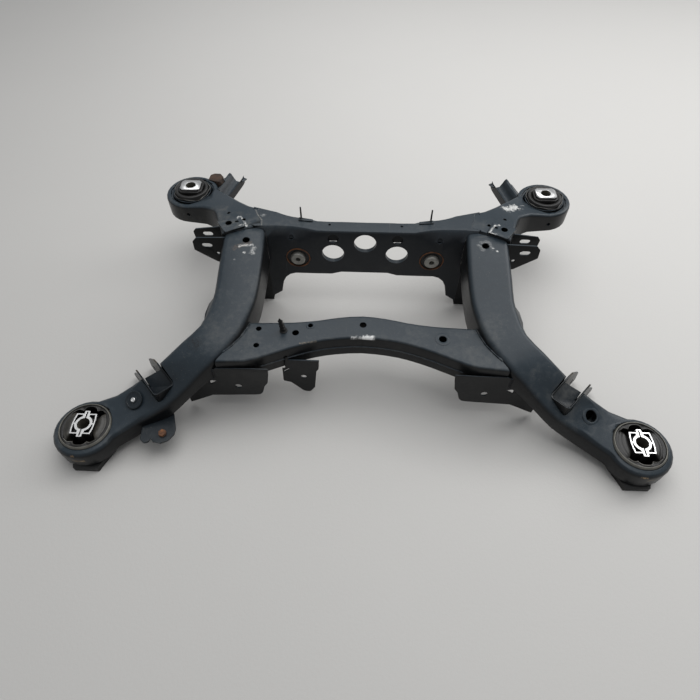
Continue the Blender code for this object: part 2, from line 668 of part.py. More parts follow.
def buildFrontBush(side, sign):
    x = frontBushX * sign
    outerR = frontBore - gap
    innerR = outerR - frontSleeveWall
    turned(side + "_front_bush_sleeve", [(innerR, 0.0137), (outerR, 0.0137), (outerR, 0.0650), (innerR, 0.0650)],
           (x, 0), 36, sleeveMetal)
    # Rubber with two arc-shaped voids that run right through
    rubberR = innerR - gap
    body = rod(side + "_front_bush_rubber", (x, 0, 0.0150), (x, 0, 0.0600), rubberR, 36, rubber)
    for s in (-1, 1):
        void = arc(0, 0, rubberR - 0.005, 90 - 38, 90 + 38, 8) + arc(0, 0, 0.0300, 90 + 34, 90 - 34, 8)
        subtract(body, flat("cut", [(x + a, b * s) for a, b in void], 0.0, 0.1, rubber))
    side1 = [(0.0205, -0.0220), (0.0222, -0.0110), (0.0228, 0.0), (0.0222, 0.0110), (0.0205, 0.0220)]
    top1 = [(0.0050, 0.0225), (0.0050, 0.0290), (-0.0050, 0.0290), (-0.0050, 0.0225)]
    outline = side1 + top1 + [(-a, -b) for a, b in side1] + [(-a, -b) for a, b in top1]
    wide = [(a * 1.012, b * 1.012) for a, b in outline]
    subtract(body, flat("cut", [(x + a, b) for a, b in wide], 0.0, 0.1, rubber))
    low = stopPlateTop + 0.0005
    block = flat(side + "_front_bush_core", [(x + a, b) for a, b in outline], low, frontCoreTop - low, aluminium)
    subtract(block, rod("cut", (x, 0, 0), (x, 0, 0.1), frontCoreHole, 28, aluminium))
    for sx in (-1, 1):
        for sy in (-1, 1):
            pocket = [(0.0187 * sx, 0.0065 * sy), (0.0178 * sx, 0.0195 * sy), (0.0075 * sx, 0.0198 * sy)]
            pocket += [(0.0185 * math.cos(math.radians(a)) * sx, 0.0185 * math.sin(math.radians(a)) * sy)
                       for a in (68, 52, 38, 24)]
            subtract(block, flat("cut", [(x + a, b) for a, b in pocket], frontCoreTop - 0.009, 0.02, aluminium))
    for sy in (-1, 1):
        slot = [(-0.0012, 0.0215 * sy), (0.0012, 0.0215 * sy), (0.0012, 0.031 * sy), (-0.0012, 0.031 * sy)]
        subtract(block, flat("cut", [(x + a, b) for a, b in slot], frontCoreTop - 0.009, 0.02, aluminium))
    # Stop plate under the eye, drawn out to a flat towards front and rear
    quarter = [(0.0460, 0.0), (0.0440, 0.0220), (0.0320, 0.0490), (0.0245, stopPlateReach)]
    ring = quarter + [(-a, b) for a, b in quarter[::-1]] + [(-a, -b) for a, b in quarter[1:]]
    ring += [(a, -b) for a, b in quarter[:0:-1]]
    plate = flat(side + "_stop_plate", [(x - 0.0025 * sign + a, b) for a, b in ring], 0.0, stopPlateTop, rubber)
    subtract(plate, rod("cut", (x, 0, -0.01), (x, 0, 0.03), 0.0200, 28, rubber))
    return body


def buildRearBush(side, sign):
    x, y = rearBushX * sign, rearBushY
    outerR = rearBore - gap
    innerR = outerR - rearSleeveWall
    turned(side + "_rear_bush_sleeve", [(innerR, 0.1330), (outerR, 0.1330), (outerR, 0.1870), (innerR, 0.1870)],
           (x, y), 32, sleeveMetal)
    r = innerR - gap
    profile = [(r, 0.1345), (r, 0.1835), (0.0410, 0.1880), (0.0405, 0.1945), (0.0385, rearRubberTop),
               (0.0330, rearRubberTop), (0.0302, 0.1900), (0.0302, 0.1345)]
    turned(side + "_rear_bush_rubber", profile, (x, y), 28, rubber)
    hx, hy, c = 0.0245, 0.0195, 0.0065
    outline = [(hx, -hy + c), (hx, hy - c), (hx - c, hy), (-hx + c, hy), (-hx, hy - c), (-hx, -hy + c),
               (-hx + c, -hy), (hx - c, -hy)]
    core = flat(side + "_rear_bush_core", [(x + a, y + b) for a, b in outline], 0.1300, rearCoreTop - 0.1300,
                aluminium)
    unite(core, rod("add", (x, y, 0.1380), (x, y, 0.1850), 0.0295, 28, aluminium))
    subtract(core, rod("cut", (x, y, 0.1), (x, y, 0.25), rearCoreHole, 28, aluminium))


def buildDiffBush(side, sign):
    x = diffBushX * sign
    z = diffBushZ
    r0 = diffBushRadius - gap
    y0 = webFace - 0.0012
    turned(side + "_diff_bush_sleeve", [(r0 - 0.002, y0), (r0, y0), (r0, y0 + diffBushLength),
                                        (r0 - 0.002, y0 + diffBushLength)], (x, 0, z), 24, rustySteel, "y")
    r1 = r0 - 0.002 - gap
    turned(side + "_diff_bush_rubber", [(0.0172, y0 + 0.003), (r1, y0 + 0.003), (r1, y0 + diffBushLength - 0.003),
                                        (0.0172, y0 + diffBushLength - 0.003)], (x, 0, z), 24, rubber, "y")
    turned(side + "_diff_bush_core", [(0.0060, y0 - 0.006), (0.0150, y0 - 0.006), (0.0169, y0 - 0.004),
                                      (0.0169, y0 + diffBushLength + 0.004), (0.0060, y0 + diffBushLength + 0.004)],
           (x, 0, z), 24, sleeveMetal, "y")


def buildRearSaddle(side, sign):
    """Curved sheet bracket behind the rear arm: a trough with a rounded ridge outside and a lip inside."""
    upper = [(-0.0215, 0.1780), (-0.0200, 0.1745), (-0.0140, 0.1630), (-0.0050, 0.1565), (0.0040, 0.1575),
             (0.0110, 0.1660), (0.0165, 0.1745), (0.0215, 0.1765), (0.0270, 0.1720), (0.0340, 0.1600),
             (0.0460, 0.1530)]
    under = [(-0.0220, 0.1580), (-0.0190, 0.1580), (-0.0172, 0.1650), (-0.0125, 0.1585), (-0.0050, 0.1532),
             (0.0045, 0.1540), (0.0130, 0.1630), (0.0182, 0.1708), (0.0222, 0.1715), (0.0300, 0.1600),
             (0.0455, 0.1500)]
    start, end = Vector((0.3720, 0.5920)), Vector((0.3420, 0.6850))
    axis = (end - start).normalized()
    cross = Vector((axis.y, -axis.x))
    rings = []
    for t, spread, rise in ((0.0, 1.0, -0.002), (0.35, 1.0, -0.002), (0.7, 1.0, 0.0), (0.9, 0.98, 0.001),
                            (1.0, 0.94, 0.003)):
        middle = start.lerp(end, t)
        ring = []
        for u, z in upper + under[::-1]:
            p = middle + cross * u * spread + axis * 0.12 * abs(u)
            ring.append((p.x * sign, p.y, z + rise))
        rings.append(ring)
    obj = loft(side + "_rear_saddle_bracket", rings, paint)
    tab = [end + axis * a + cross * b for a, b in ((-0.014, -0.018), (-0.014, -0.026), (0.000, -0.030), (0.002, -0.020))]
    unite(obj, flat("add", [(p.x * sign, p.y) for p in tab], 0.1725, 0.0026, paint))
    subtract(obj, armBody("cut", sign, -gap))
    return obj


def buildOuterTab(side, sign):
    """Short sloping tab on the outer wall of the side member."""
    inner = [(0.3140, 0.2360, 0.1600), (0.3140, 0.2920, 0.1600)]
    outer = [(0.3460, 0.2880, 0.1190), (0.3490, 0.2580, 0.1190), (0.3470, 0.2380, 0.1190)]
    top = [Vector((x * sign, y, z)) for x, y, z in inner + outer]
    obj = loft(side + "_outer_tab", [top, [p - Vector((0, 0, 0.0040)) for p in top]], paint)
    subtract(obj, memberBody("cut", sign, -gap))
    return obj


def buildSmallParts():
    # Cable clip in the front crossmember
    x, y = -0.162, 0.184
    clip = rod("cable_clip", (x, y, crossTop + gap), (x, y, crossTop + 0.002), 0.0075, 12, plastic)
    unite(clip, rod("add", (x, y, crossTop + 0.001), (x, y, crossTop + 0.032), 0.0030, 8, plastic))
    for k in range(4):
        z = crossTop + 0.008 + 0.006 * k
        unite(clip, rod("add", (x, y, z), (x, y, z + 0.002), 0.0056, 8, plastic))
    # Plug disc with a stud in the left front arm
    tilt = Vector((-0.373, -0.161, 1)).normalized()
    base = Vector((-0.4600, 0.0530, 0.0765))
    disc = rod("plug_disc", base, base + tilt * 0.0050, 0.0190, 24, paint)
    unite(disc, rod("add", base + tilt * 0.004, base + tilt * 0.013, 0.0042, 10, paint))
    subtract(disc, memberBody("cut", -1, -gap))
    # Sensor bracket and its bolt on the inside of the left front arm
    outline = [(-0.3862, 0.0457), (-0.3740, 0.0110), (-0.3740, -0.0030), (-0.3830, -0.0170), (-0.3980, -0.0240),
               (-0.4140, -0.0210), (-0.4190, -0.0120), (-0.4225, -0.0220), (-0.4310, -0.0245), (-0.4400, -0.0170),
               (-0.4450, 0.0300)]
    top = 0.0465
    bracket = flat("sensor_bracket", rounded(outline, [0, 0.006, 0.006, 0.006, 0.006, 0.003, 0.002, 0.003, 0.004,
                                                       0.004, 0], 2), top - sheet, sheet, paint)
    subtract(bracket, memberBody("cut", -1, -gap))
    rod("sensor_bolt", (-0.3970, -0.0030, top + gap), (-0.3970, -0.0030, top + 0.0065), 0.0080, 6, rustySteel)
    # Rusted lug behind the left rear eye
    lug = [(-0.4060, 0.6500), (-0.4040, 0.6700), (-0.3960, 0.6765), (-0.3800, 0.6765), (-0.3690, 0.6620),
           (-0.3780, 0.6400)]
    block = flat("rusty_lug", rounded(lug, 0.004, 2), 0.1640, 0.0240, rustySteel)
    subtract(block, rod("cut", (-0.3880, 0.64, 0.1760), (-0.3880, 0.70, 0.1760), 0.0050, 14, rustySteel))
    subtract(block, armBody("cut", -1, -gap))
    middle = Vector((-0.3885, 0.6640))
    wider = [Vector(p) + (Vector(p) - middle).normalized() * 0.0006 for p in lug]
    wider[0].x = wider[1].x = -0.4300
    subtract(bpy.data.objects["left_rear_saddle_bracket"], flat("cut", wider, 0.14, 0.06, paint))


for sideName, s in (("left", -1), ("right", 1)):
    buildSideMember(sideName, s)
    buildSaddle(sideName, s)
    buildRearArm(sideName, s)
    buildRearArmPlate(sideName, s)
    buildTabPlate(sideName, s)
    buildLeg(sideName, s)
    buildFin(sideName, s)
    buildWebDoublers(sideName, s)
    buildOuterTab(sideName, s)
    buildClevis(sideName, s)
    buildLowerBracket(sideName, s)
    buildFrontBush(sideName, s)
    buildRearBush(sideName, s)
    buildDiffBush(sideName, s)
    buildRearSaddle(sideName, s)
buildRearCrossmember()
buildFrontCrossmember()
buildDiffBracket()
buildSmallParts()

for obj in bpy.data.objects:
    mesh = obj.data
    for vertex in mesh.vertices:
        vertex.co.y -= yShift
    for polygon in mesh.polygons:
        polygon.use_smooth = True
    mesh.set_sharp_from_angle(angle=math.radians(32))
    mesh.name = obj.name
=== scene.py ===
import bpy
import bmesh
import json
import math
import random
from mathutils import Matrix, Vector
from mathutils.bvhtree import BVHTree

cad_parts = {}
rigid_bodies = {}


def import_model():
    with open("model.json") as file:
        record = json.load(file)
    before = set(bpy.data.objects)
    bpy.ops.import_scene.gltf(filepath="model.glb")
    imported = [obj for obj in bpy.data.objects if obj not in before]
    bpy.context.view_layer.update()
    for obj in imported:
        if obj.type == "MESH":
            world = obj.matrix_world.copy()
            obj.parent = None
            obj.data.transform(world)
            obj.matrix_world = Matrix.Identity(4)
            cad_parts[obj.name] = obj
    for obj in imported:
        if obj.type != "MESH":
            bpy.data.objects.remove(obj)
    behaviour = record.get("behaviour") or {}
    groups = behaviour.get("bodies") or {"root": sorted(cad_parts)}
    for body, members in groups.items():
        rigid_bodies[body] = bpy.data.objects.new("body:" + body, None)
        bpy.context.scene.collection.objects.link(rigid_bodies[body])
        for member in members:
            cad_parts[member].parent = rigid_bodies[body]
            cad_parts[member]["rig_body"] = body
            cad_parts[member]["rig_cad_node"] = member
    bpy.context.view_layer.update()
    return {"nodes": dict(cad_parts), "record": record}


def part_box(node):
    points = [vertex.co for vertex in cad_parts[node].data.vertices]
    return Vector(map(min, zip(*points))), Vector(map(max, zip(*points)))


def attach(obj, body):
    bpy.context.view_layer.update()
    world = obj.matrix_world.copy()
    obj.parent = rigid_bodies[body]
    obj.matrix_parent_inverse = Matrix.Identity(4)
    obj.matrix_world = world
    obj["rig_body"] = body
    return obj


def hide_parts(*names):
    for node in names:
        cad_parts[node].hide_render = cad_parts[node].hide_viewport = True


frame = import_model()
slotOf = {row["node"]: row["material_slot"] for row in frame["record"]["subparts"]}
print("frame loaded, nodes:", len(frame["nodes"]))


# Camera

view = {"place": (0.0016, -0.80747, 0.9911), "down": 52.90, "turn": -2.29, "roll": -0.08, "lens": 26.86}
down, turn, roll = (math.radians(view[key]) for key in ("down", "turn", "roll"))
forward = Vector((math.sin(turn) * math.cos(down), math.cos(turn) * math.cos(down), -math.sin(down)))
right = forward.cross(Vector((0, 0, 1))).normalized()
up = right.cross(forward)
bpy.ops.object.camera_add(location=view["place"])
camera = bpy.context.object
camera.name = "photoCamera"
camera.data.lens = view["lens"]
camera.data.sensor_width = 36
camera.data.clip_start = 0.02
axes = Matrix((right, up, -forward)).transposed()
camera.matrix_world = Matrix.Translation(view["place"]) @ (axes @ Matrix.Rotation(roll, 3, "Z")).to_4x4()
bpy.context.scene.camera = camera
print("camera placed")


# Node trees: a number in a tree, and a tree that takes any node

class Wire:
    def __init__(self, sheet, socket):
        self.sheet = sheet
        self.socket = socket

    def join(self, operation, first, second):
        return self.sheet.add("ShaderNodeMath", {"operation": operation}, {0: first, 1: second})

    def __add__(self, other):
        return self.join("ADD", self, other)

    def __radd__(self, other):
        return self.join("ADD", other, self)

    def __sub__(self, other):
        return self.join("SUBTRACT", self, other)

    def __rsub__(self, other):
        return self.join("SUBTRACT", other, self)

    def __mul__(self, other):
        return self.join("MULTIPLY", self, other)

    def __rmul__(self, other):
        return self.join("MULTIPLY", other, self)

    def __pow__(self, other):
        return self.join("POWER", self, other)

    def clipped(self):
        return self.sheet.add("ShaderNodeMath", {"operation": "ADD", "use_clamp": True}, {0: self, 1: 0.0})


class Sheet:
    def __init__(self, name):
        self.material = bpy.data.materials.new(name)
        self.material.use_nodes = True
        self.tree = self.material.node_tree
        self.tree.nodes.clear()

    def add(self, kind, settings=None, sockets=None, out=0):
        node = self.tree.nodes.new(kind)
        for key, value in (settings or {}).items():
            setattr(node, key, value)
        for key, value in (sockets or {}).items():
            if isinstance(value, Wire):
                self.tree.links.new(value.socket, node.inputs[key])
            else:
                node.inputs[key].default_value = value
        return Wire(self, node.outputs[out]) if len(node.outputs) else None

    def place(self):
        return self.add("ShaderNodeTexCoord", out="Object")

    def split(self, vector):
        node = self.add("ShaderNodeSeparateXYZ", {}, {0: vector}).socket.node
        return [Wire(self, output) for output in node.outputs]

    def normalUp(self):
        return self.split(self.add("ShaderNodeTexCoord", out="Normal"))[2]

    def noise(self, scale, detail, rough=0.55, bend=0.0, stretch=(1, 1, 1), turned=(0, 0, 0), shift=(0, 0, 0)):
        spot = self.add("ShaderNodeMapping", {}, {"Vector": self.place(), "Scale": stretch, "Rotation": turned,
                                                  "Location": shift})
        return self.add("ShaderNodeTexNoise", {}, {"Vector": spot, "Scale": scale, "Detail": detail,
                                                   "Roughness": rough, "Distortion": bend})

    def smooth(self, value, low, high):
        return self.add("ShaderNodeMapRange", {"interpolation_type": "SMOOTHSTEP"},
                        {"Value": value, "From Min": low, "From Max": high})

    def mix(self, factor, first, second):
        # a colour mix has its factor on socket 0, its colours on 6 and 7 and its result on 2
        first, second = (value if isinstance(value, Wire) else (*value, 1) for value in (first, second))
        return self.add("ShaderNodeMix", {"data_type": "RGBA"}, {0: factor, 6: first, 7: second}, 2)

    def finish(self, bump=None, **sockets):
        if bump:
            height, depth, soft = bump
            source = {"Height": height, "Distance": depth, "Strength": 1.0}
            if soft:
                source["Normal"] = self.add("ShaderNodeBevel", {"samples": 6}, {"Radius": soft})
            sockets["Normal"] = self.add("ShaderNodeBump", {}, source)
        named = {key.replace("_", " "): value for key, value in sockets.items()}
        shader = self.add("ShaderNodeBsdfPrincipled", {}, named)
        self.add("ShaderNodeOutputMaterial", {}, {"Surface": shader})
        return self.material


# Black electro-dip coat: near black on walls, and a painted blue-grey sheen of reflected sky on what faces up, with
# dust over it

coat = {"wall": (0.0042, 0.0048, 0.0056), "sheenAndDust": (0.0250, 0.0350, 0.0440), "dust": (0.120, 0.118, 0.108),
        "bare": (0.62, 0.62, 0.60), "rust": (0.170, 0.070, 0.030), "rough": 0.30, "gloss": 0.25,
        "edge": 0.0011, "depth": 0.00035,
        "sheenShare": (0.62, 0.55, 0.35),            # even, cloudy and grainy
        "speckShare": (0.10, 0.35),                 # everywhere, and more on what faces up
        "dustShare": (0.10, 0.22), "scratchShare": 0.30, "spotShare": 0.8,
        "upwardAt": (0.25, 0.95), "speckAt": (0.66, 0.74), "dustAt": (0.72, 1.02), "scratchAt": (0.70, 0.76),
        "crossAt": (0.71, 0.77), "spotAt": (0.74, 0.80), "spotSpread": 0.2, "fade": (0.004, 0.006),
        "noise": {"cloud": (7.0, 4.0, 0.6), "grain": (85.0, 5.0, 0.65), "speck": (420.0, 2.0, 0.5),
                  "scratch": (48.0, 3.0, 0.7, 0.3, (0.10, 1.0, 1.0), (0, 0, 0.6)),
                  "cross": (60.0, 3.0, 0.7, 0.2, (1.0, 0.08, 1.0), (0, 0, -0.4))},
        "spot": (30.0, 5.0, 0.7), "fine": (900.0, 2.0)}
plainMark = {"soft": 0.4, "ragged": 2.2, "tatter": 0.85, "level": True, "colour": coat["bare"]}
markForm = {"edge": 0.0010, "wobble": (150.0, 4.0, 0.75), "tatter": (260.0, 4.0, 0.75), "tatterAt": (0.42, 0.58),
            "levelAt": (0.15, 0.45)}


def streak(start, end, width, strength, **more):
    return {**plainMark, "from": start, "to": end, "width": width, "strength": strength, **more}


def markMask(sheet, x, y, mark, wobble):
    # distance to a short line, ragged at its rim
    (ax, ay), (bx, by), width, soft = mark["from"], mark["to"], mark["width"], mark["soft"]
    dx, dy = bx - ax, by - ay
    along = (((x - ax) * dx + (y - ay) * dy) * (1 / (dx * dx + dy * dy))).clipped()
    far = ((x - ax - along * dx) ** 2.0 + (y - ay - along * dy) ** 2.0) ** 0.5
    far = far + (wobble - 0.5) * (width * mark["ragged"])
    return sheet.smooth(far, width * 0.5 * (1 + soft), width * 0.5 * (1 - soft)) * mark["strength"]


def coatFinish(name, marks=(), dusty=1.0, sheenScale=1.0, rusty=0.0, bevel=None, raw=None, wallLightScale=1.0):
    sheet = Sheet(name)
    x, y, z = sheet.split(sheet.place())
    up = sheet.normalUp()
    cloud, grain, speck, scratch, cross = (sheet.noise(*settings) for settings in coat["noise"].values())
    upward = sheet.smooth(up, *coat["upwardAt"])
    even, cloudy, grainy = coat["sheenShare"]
    # painted sheen: what faces up is painted a lighter blue-grey, standing in for reflected sky, scaled part by part
    sheenAndDust = (upward * (even + cloud * cloudy + (grain - 0.5) * grainy) * sheenScale).clipped()
    colour = sheet.mix(sheenAndDust, tuple(value * wallLightScale for value in coat["wall"]), coat["sheenAndDust"])
    everywhere, above = coat["speckShare"]
    specks = sheet.smooth(speck, *coat["speckAt"]) * (everywhere + upward * above) * dusty
    everywhere, above = coat["dustShare"]
    dust = sheet.smooth(cloud + grain * 0.5, *coat["dustAt"]) * (everywhere + upward * above) * dusty
    colour = sheet.mix((specks + dust).clipped(), colour, coat["dust"])
    lines = (sheet.smooth(scratch, *coat["scratchAt"]) + sheet.smooth(cross, *coat["crossAt"])) * upward
    colour = sheet.mix((lines * coat["scratchShare"]).clipped(), colour, coat["dust"])
    rough = coat["rough"] + cloud * 0.10 + (grain - 0.5) * 0.16 + specks * 0.2
    if rusty:
        spots = sheet.noise(*coat["spot"], shift=(3, 1, 2))
        spots = sheet.smooth(spots, *(level - coat["spotSpread"] * rusty for level in coat["spotAt"]))
        colour = sheet.mix(spots * coat["spotShare"], colour, coat["rust"])
    if marks:
        wobble, edge = sheet.noise(*markForm["wobble"]), markForm["edge"]
        tatter = sheet.smooth(sheet.noise(*markForm["tatter"]), *markForm["tatterAt"])
        for mark in marks:
            mask = markMask(sheet, x, y, mark, wobble) * (1 - mark["tatter"] + tatter * mark["tatter"])
            if "above" in mark:
                mask = mask * sheet.smooth(z, mark["above"] - edge, mark["above"] + edge)
            if "below" in mark:
                mask = mask * sheet.smooth(z, mark["below"] + edge, mark["below"] - edge)
            if mark["level"]:
                mask = mask * sheet.smooth(up, *markForm["levelAt"])
            colour = sheet.mix(mask.clipped(), colour, mark["colour"])
    if raw:
        # the ears past the arm's edge were never coated well
        (fromX, fromY), (axisX, axisY) = raw["from"], raw["axis"]
        out = (x * raw["side"] - fromX) * axisX + (y - fromY) * axisY
        bared = sheet.smooth(out, raw["past"], raw["past"] + coat["fade"][0])
        bared = bared * sheet.smooth(z, raw["above"], raw["above"] + coat["fade"][1])
        bared = (bared * (0.45 + sheet.smooth(grain, 0.40, 0.60) * 0.55)).clipped()
        colour = sheet.mix(bared, colour, raw["colour"])
    height = grain * 0.55 + speck * 0.25 + sheet.noise(*coat["fine"]) * 0.2
    return sheet.finish((height, coat["depth"], bevel or coat["edge"]), Base_Color=colour,
                        Roughness=rough.clipped(), Specular_IOR_Level=coat["gloss"])


print("coat ready")


# Rubber, metals and plastic

rubber = {"cloud": (40.0, 4.0, 0.6), "grain": (500.0, 3.0, 0.6), "upwardAt": (0.1, 0.95), "cloudAt": (0.3, 0.75),
          "depth": 0.00025, "edge": 0.0006, "bend": 1.48}


def rubberFinish(name, tone, sheenAndDust, amount, rough):
    sheet = Sheet(name)
    up = sheet.normalUp()
    cloud, grain = sheet.noise(*rubber["cloud"]), sheet.noise(*rubber["grain"])
    upward = sheet.smooth(up, *rubber["upwardAt"])
    # the film is dust on the plain black rubber and a painted sheen on the lobes and lips, more on what faces up
    sheenAndDustMask = (0.25 + upward * 0.75) * sheet.smooth(cloud, *rubber["cloudAt"]) * amount
    colour = sheet.mix(sheenAndDustMask.clipped(), tone, sheenAndDust)
    return sheet.finish((grain + cloud * 0.5, rubber["depth"], rubber["edge"]), Base_Color=colour,
                        Roughness=(rough + (grain - 0.5) * 0.2).clipped(), IOR=rubber["bend"])


metal = {"cloud": (60.0, 4.0, 0.6), "lines": (220.0, 3.0, 0.6, 0.0, (1, 0.08, 1)), "fine": (1200.0, 2.0, 0.5),
         "mark": (110.0, 5.0, 0.75), "cloudAt": (0.35, 0.75), "stain": (0.10, 0.06, 0.035), "depth": 0.00012,
         "edge": 0.0005}


def metalFinish(name, tone, dark, rough, metallic, stained):
    sheet = Sheet(name)
    cloud, lines, fine = (sheet.noise(*metal[key]) for key in ("cloud", "lines", "fine"))
    colour = sheet.mix(sheet.smooth(cloud, *metal["cloudAt"]) * 0.5, tone, dark)
    marks = sheet.smooth(sheet.noise(*metal["mark"], shift=(1, 2, 3)), 0.62 - stained * 0.1, 0.72)
    colour = sheet.mix(marks * stained, colour, metal["stain"])
    return sheet.finish((lines * 0.6 + fine * 0.4, metal["depth"], metal["edge"]), Base_Color=colour,
                        Roughness=(rough + cloud * 0.15 + marks * 0.25).clipped(),
                        Metallic=(metallic - marks * stained).clipped())


rust = {"cloud": (55.0, 5.0, 0.7), "grain": (420.0, 5.0, 0.7), "cloudAt": (0.32, 0.68), "grainAt": (0.45, 0.75),
        "patch": (75.0, 4.0, 0.7), "patchAt": (0.55, 0.68), "depth": 0.0007, "edge": 0.0008}


def rustFinish(name, light, deep, grey, bared):
    sheet = Sheet(name)
    cloud, grain = sheet.noise(*rust["cloud"]), sheet.noise(*rust["grain"])
    colour = sheet.mix(sheet.smooth(cloud, *rust["cloudAt"]), deep, light)
    colour = sheet.mix(sheet.smooth(grain, *rust["grainAt"]) * 0.6, colour, deep)
    patches = sheet.smooth(sheet.noise(*rust["patch"], shift=(5, 3, 1)), *rust["patchAt"])
    colour = sheet.mix(patches * bared, colour, grey)
    return sheet.finish((grain + cloud, rust["depth"], rust["edge"]), Base_Color=colour,
                        Roughness=(0.72 + grain * 0.25).clipped())


plastic = {"cloud": (90.0, 4.0, 0.6), "grain": (900.0, 2.0, 0.5), "cloudAt": (0.4, 0.7), "depth": 0.0001,
           "edge": 0.0004, "tone": (0.0035, 0.0035, 0.0038), "lighter": (0.012, 0.012, 0.012), "gloss": 0.25}


def plasticFinish(name):
    sheet = Sheet(name)
    cloud, grain = sheet.noise(*plastic["cloud"]), sheet.noise(*plastic["grain"])
    colour = sheet.mix(sheet.smooth(cloud, *plastic["cloudAt"]) * 0.4, plastic["tone"], plastic["lighter"])
    return sheet.finish((grain, plastic["depth"], plastic["edge"]), Base_Color=colour,
                        Roughness=(0.42 + cloud * 0.15).clipped(), Specular_IOR_Level=plastic["gloss"])


# Scuffs, stains and streaks: a short line each, seen from above, with the heights it keeps to

scuff = {
    "leftMember": [
        streak((-0.2751, 0.0547), (-0.2478, 0.0593), 0.0058, 0.85),
        streak((-0.2443, 0.0493), (-0.2452, 0.0388), 0.0090, 0.5, soft=0.8),
        streak((-0.2627, 0.0376), (-0.2620, 0.0379), 0.0052, 0.8),
        streak((-0.2814, 0.0189), (-0.2811, 0.0190), 0.0036, 0.8),
        streak((-0.2860, 0.0500), (-0.2560, 0.0640), 0.0120, 0.25, colour=(0.20, 0.13, 0.08)),
        streak((-0.3378, -0.1762), (-0.3330, -0.1790), 0.0200, 0.7, soft=0.8, colour=(0.012, 0.012, 0.013)),
        streak((-0.5590, -0.3819), (-0.5400, -0.3832), 0.0060, 0.9, level=False,
               below=0.0440, above=0.0375, tatter=1.0, colour=(0.24, 0.17, 0.09)),
        streak((-0.5580, -0.3819), (-0.5545, -0.3822), 0.0050, 0.9, level=False,
               below=0.0585, above=0.0545, tatter=1.0, colour=(0.24, 0.15, 0.08))],
    "rightMember": [
        streak((0.2864, 0.0580), (0.2868, 0.0584), 0.0045, 0.9),
        streak((0.2790, 0.0660), (0.2793, 0.0662), 0.0030, 0.8),
        streak((0.2560, 0.0620), (0.2490, 0.0740), 0.0070, 0.30, soft=0.9),
        streak((0.2540, 0.0820), (0.2680, 0.0840), 0.0070, 0.28, soft=0.9),
        streak((0.2730, 0.0810), (0.2760, 0.0640), 0.0060, 0.25, soft=0.9),
        streak((0.5400, -0.3829), (0.5480, -0.3830), 0.0060, 0.9, level=False,
               below=0.0560, above=0.0520, tatter=1.0, colour=(0.26, 0.18, 0.10)),
        streak((0.5540, -0.3829), (0.5660, -0.3830), 0.0050, 0.8, level=False,
               below=0.0470, above=0.0430, tatter=1.0, colour=(0.22, 0.16, 0.09))],
    "rightArm": [
        streak((0.3290, 0.2105), (0.3560, 0.2300), 0.0165, 1.0, tatter=0.35, ragged=3.2),
        streak((0.3720, 0.2440), (0.3790, 0.2480), 0.0040, 0.5)],
    "rightPlate": [
        streak((0.2976, 0.1297), (0.2885, 0.1293), 0.0042, 0.8),
        streak((0.2885, 0.1293), (0.2727, 0.1040), 0.0042, 0.9),
        streak((0.2727, 0.1040), (0.2872, 0.0994), 0.0042, 0.85)],
    "leftPlate": [
        streak((-0.2910, 0.1340), (-0.2857, 0.1416), 0.0046, 0.6),
        streak((-0.2857, 0.1416), (-0.2671, 0.1124), 0.0050, 0.7),
        streak((-0.2671, 0.1124), (-0.2818, 0.1077), 0.0046, 0.65)],
    "leftFlange": [
        streak((-0.2547, 0.1683), (-0.2472, 0.1497), 0.0026, 0.6, colour=(0.22, 0.21, 0.19)),
        streak((-0.2472, 0.1497), (-0.2355, 0.1325), 0.0026, 0.7, colour=(0.25, 0.24, 0.21)),
        streak((-0.2355, 0.1325), (-0.2331, 0.1153), 0.0024, 0.6, colour=(0.22, 0.21, 0.19)),
        streak((-0.2353, 0.1473), (-0.2340, 0.1500), 0.0070, 0.4, soft=0.9)],
    "frontCross": [
        streak((0.0030, -0.1446), (0.0195, -0.1448), 0.0076, 1.0, tatter=0.30,
               ragged=2.0, soft=0.7, level=False, above=0.1525, colour=(0.82, 0.82, 0.81)),
        streak((-0.0200, -0.1460), (0.0230, -0.1446), 0.0066, 0.75, tatter=0.9,
               ragged=3.0, soft=0.9, level=False, above=0.1530, colour=(0.60, 0.60, 0.59)),
        streak((0.0012, -0.1460), (0.0014, -0.1440), 0.0030, 1.0, tatter=0.0,
               level=False, below=0.1500, above=0.1290, colour=(0.001, 0.001, 0.001), ragged=0.2),
        streak((-0.1254, -0.1646), (-0.0931, -0.1570), 0.0030, 0.45, level=False,
               above=0.1540, colour=(0.30, 0.24, 0.17))],
}

finishes = {
    "black_ecoat": coatFinish("coatPlain"),
    "bush_rubber": rubberFinish("rubberBlack", (0.0062, 0.0061, 0.0060), (0.030, 0.028, 0.025), 0.30, 0.50),
    "machined_aluminium": metalFinish("aluminiumTurned", (0.86, 0.86, 0.85), (0.60, 0.60, 0.59), 0.30, 1.0, 0.15),
    "sleeve_metal": metalFinish("sleeveDull", (0.150, 0.143, 0.118), (0.085, 0.080, 0.066), 0.42, 0.55, 0.35),
    "rusty_steel": rustFinish("steelRusty", (0.235, 0.095, 0.036), (0.060, 0.028, 0.016), (0.10, 0.095, 0.09), 0.3),
    "clip_plastic": plasticFinish("plasticBlack"),
}
diffCore = ((0.34, 0.335, 0.31), (0.20, 0.195, 0.18), 0.38, 0.75, 0.25)
rawEars = {"from": (0.3920, -0.25577), "axis": (0.680, 0.733), "past": 0.0680, "above": 0.0840,
           "colour": (0.052, 0.042, 0.029)}
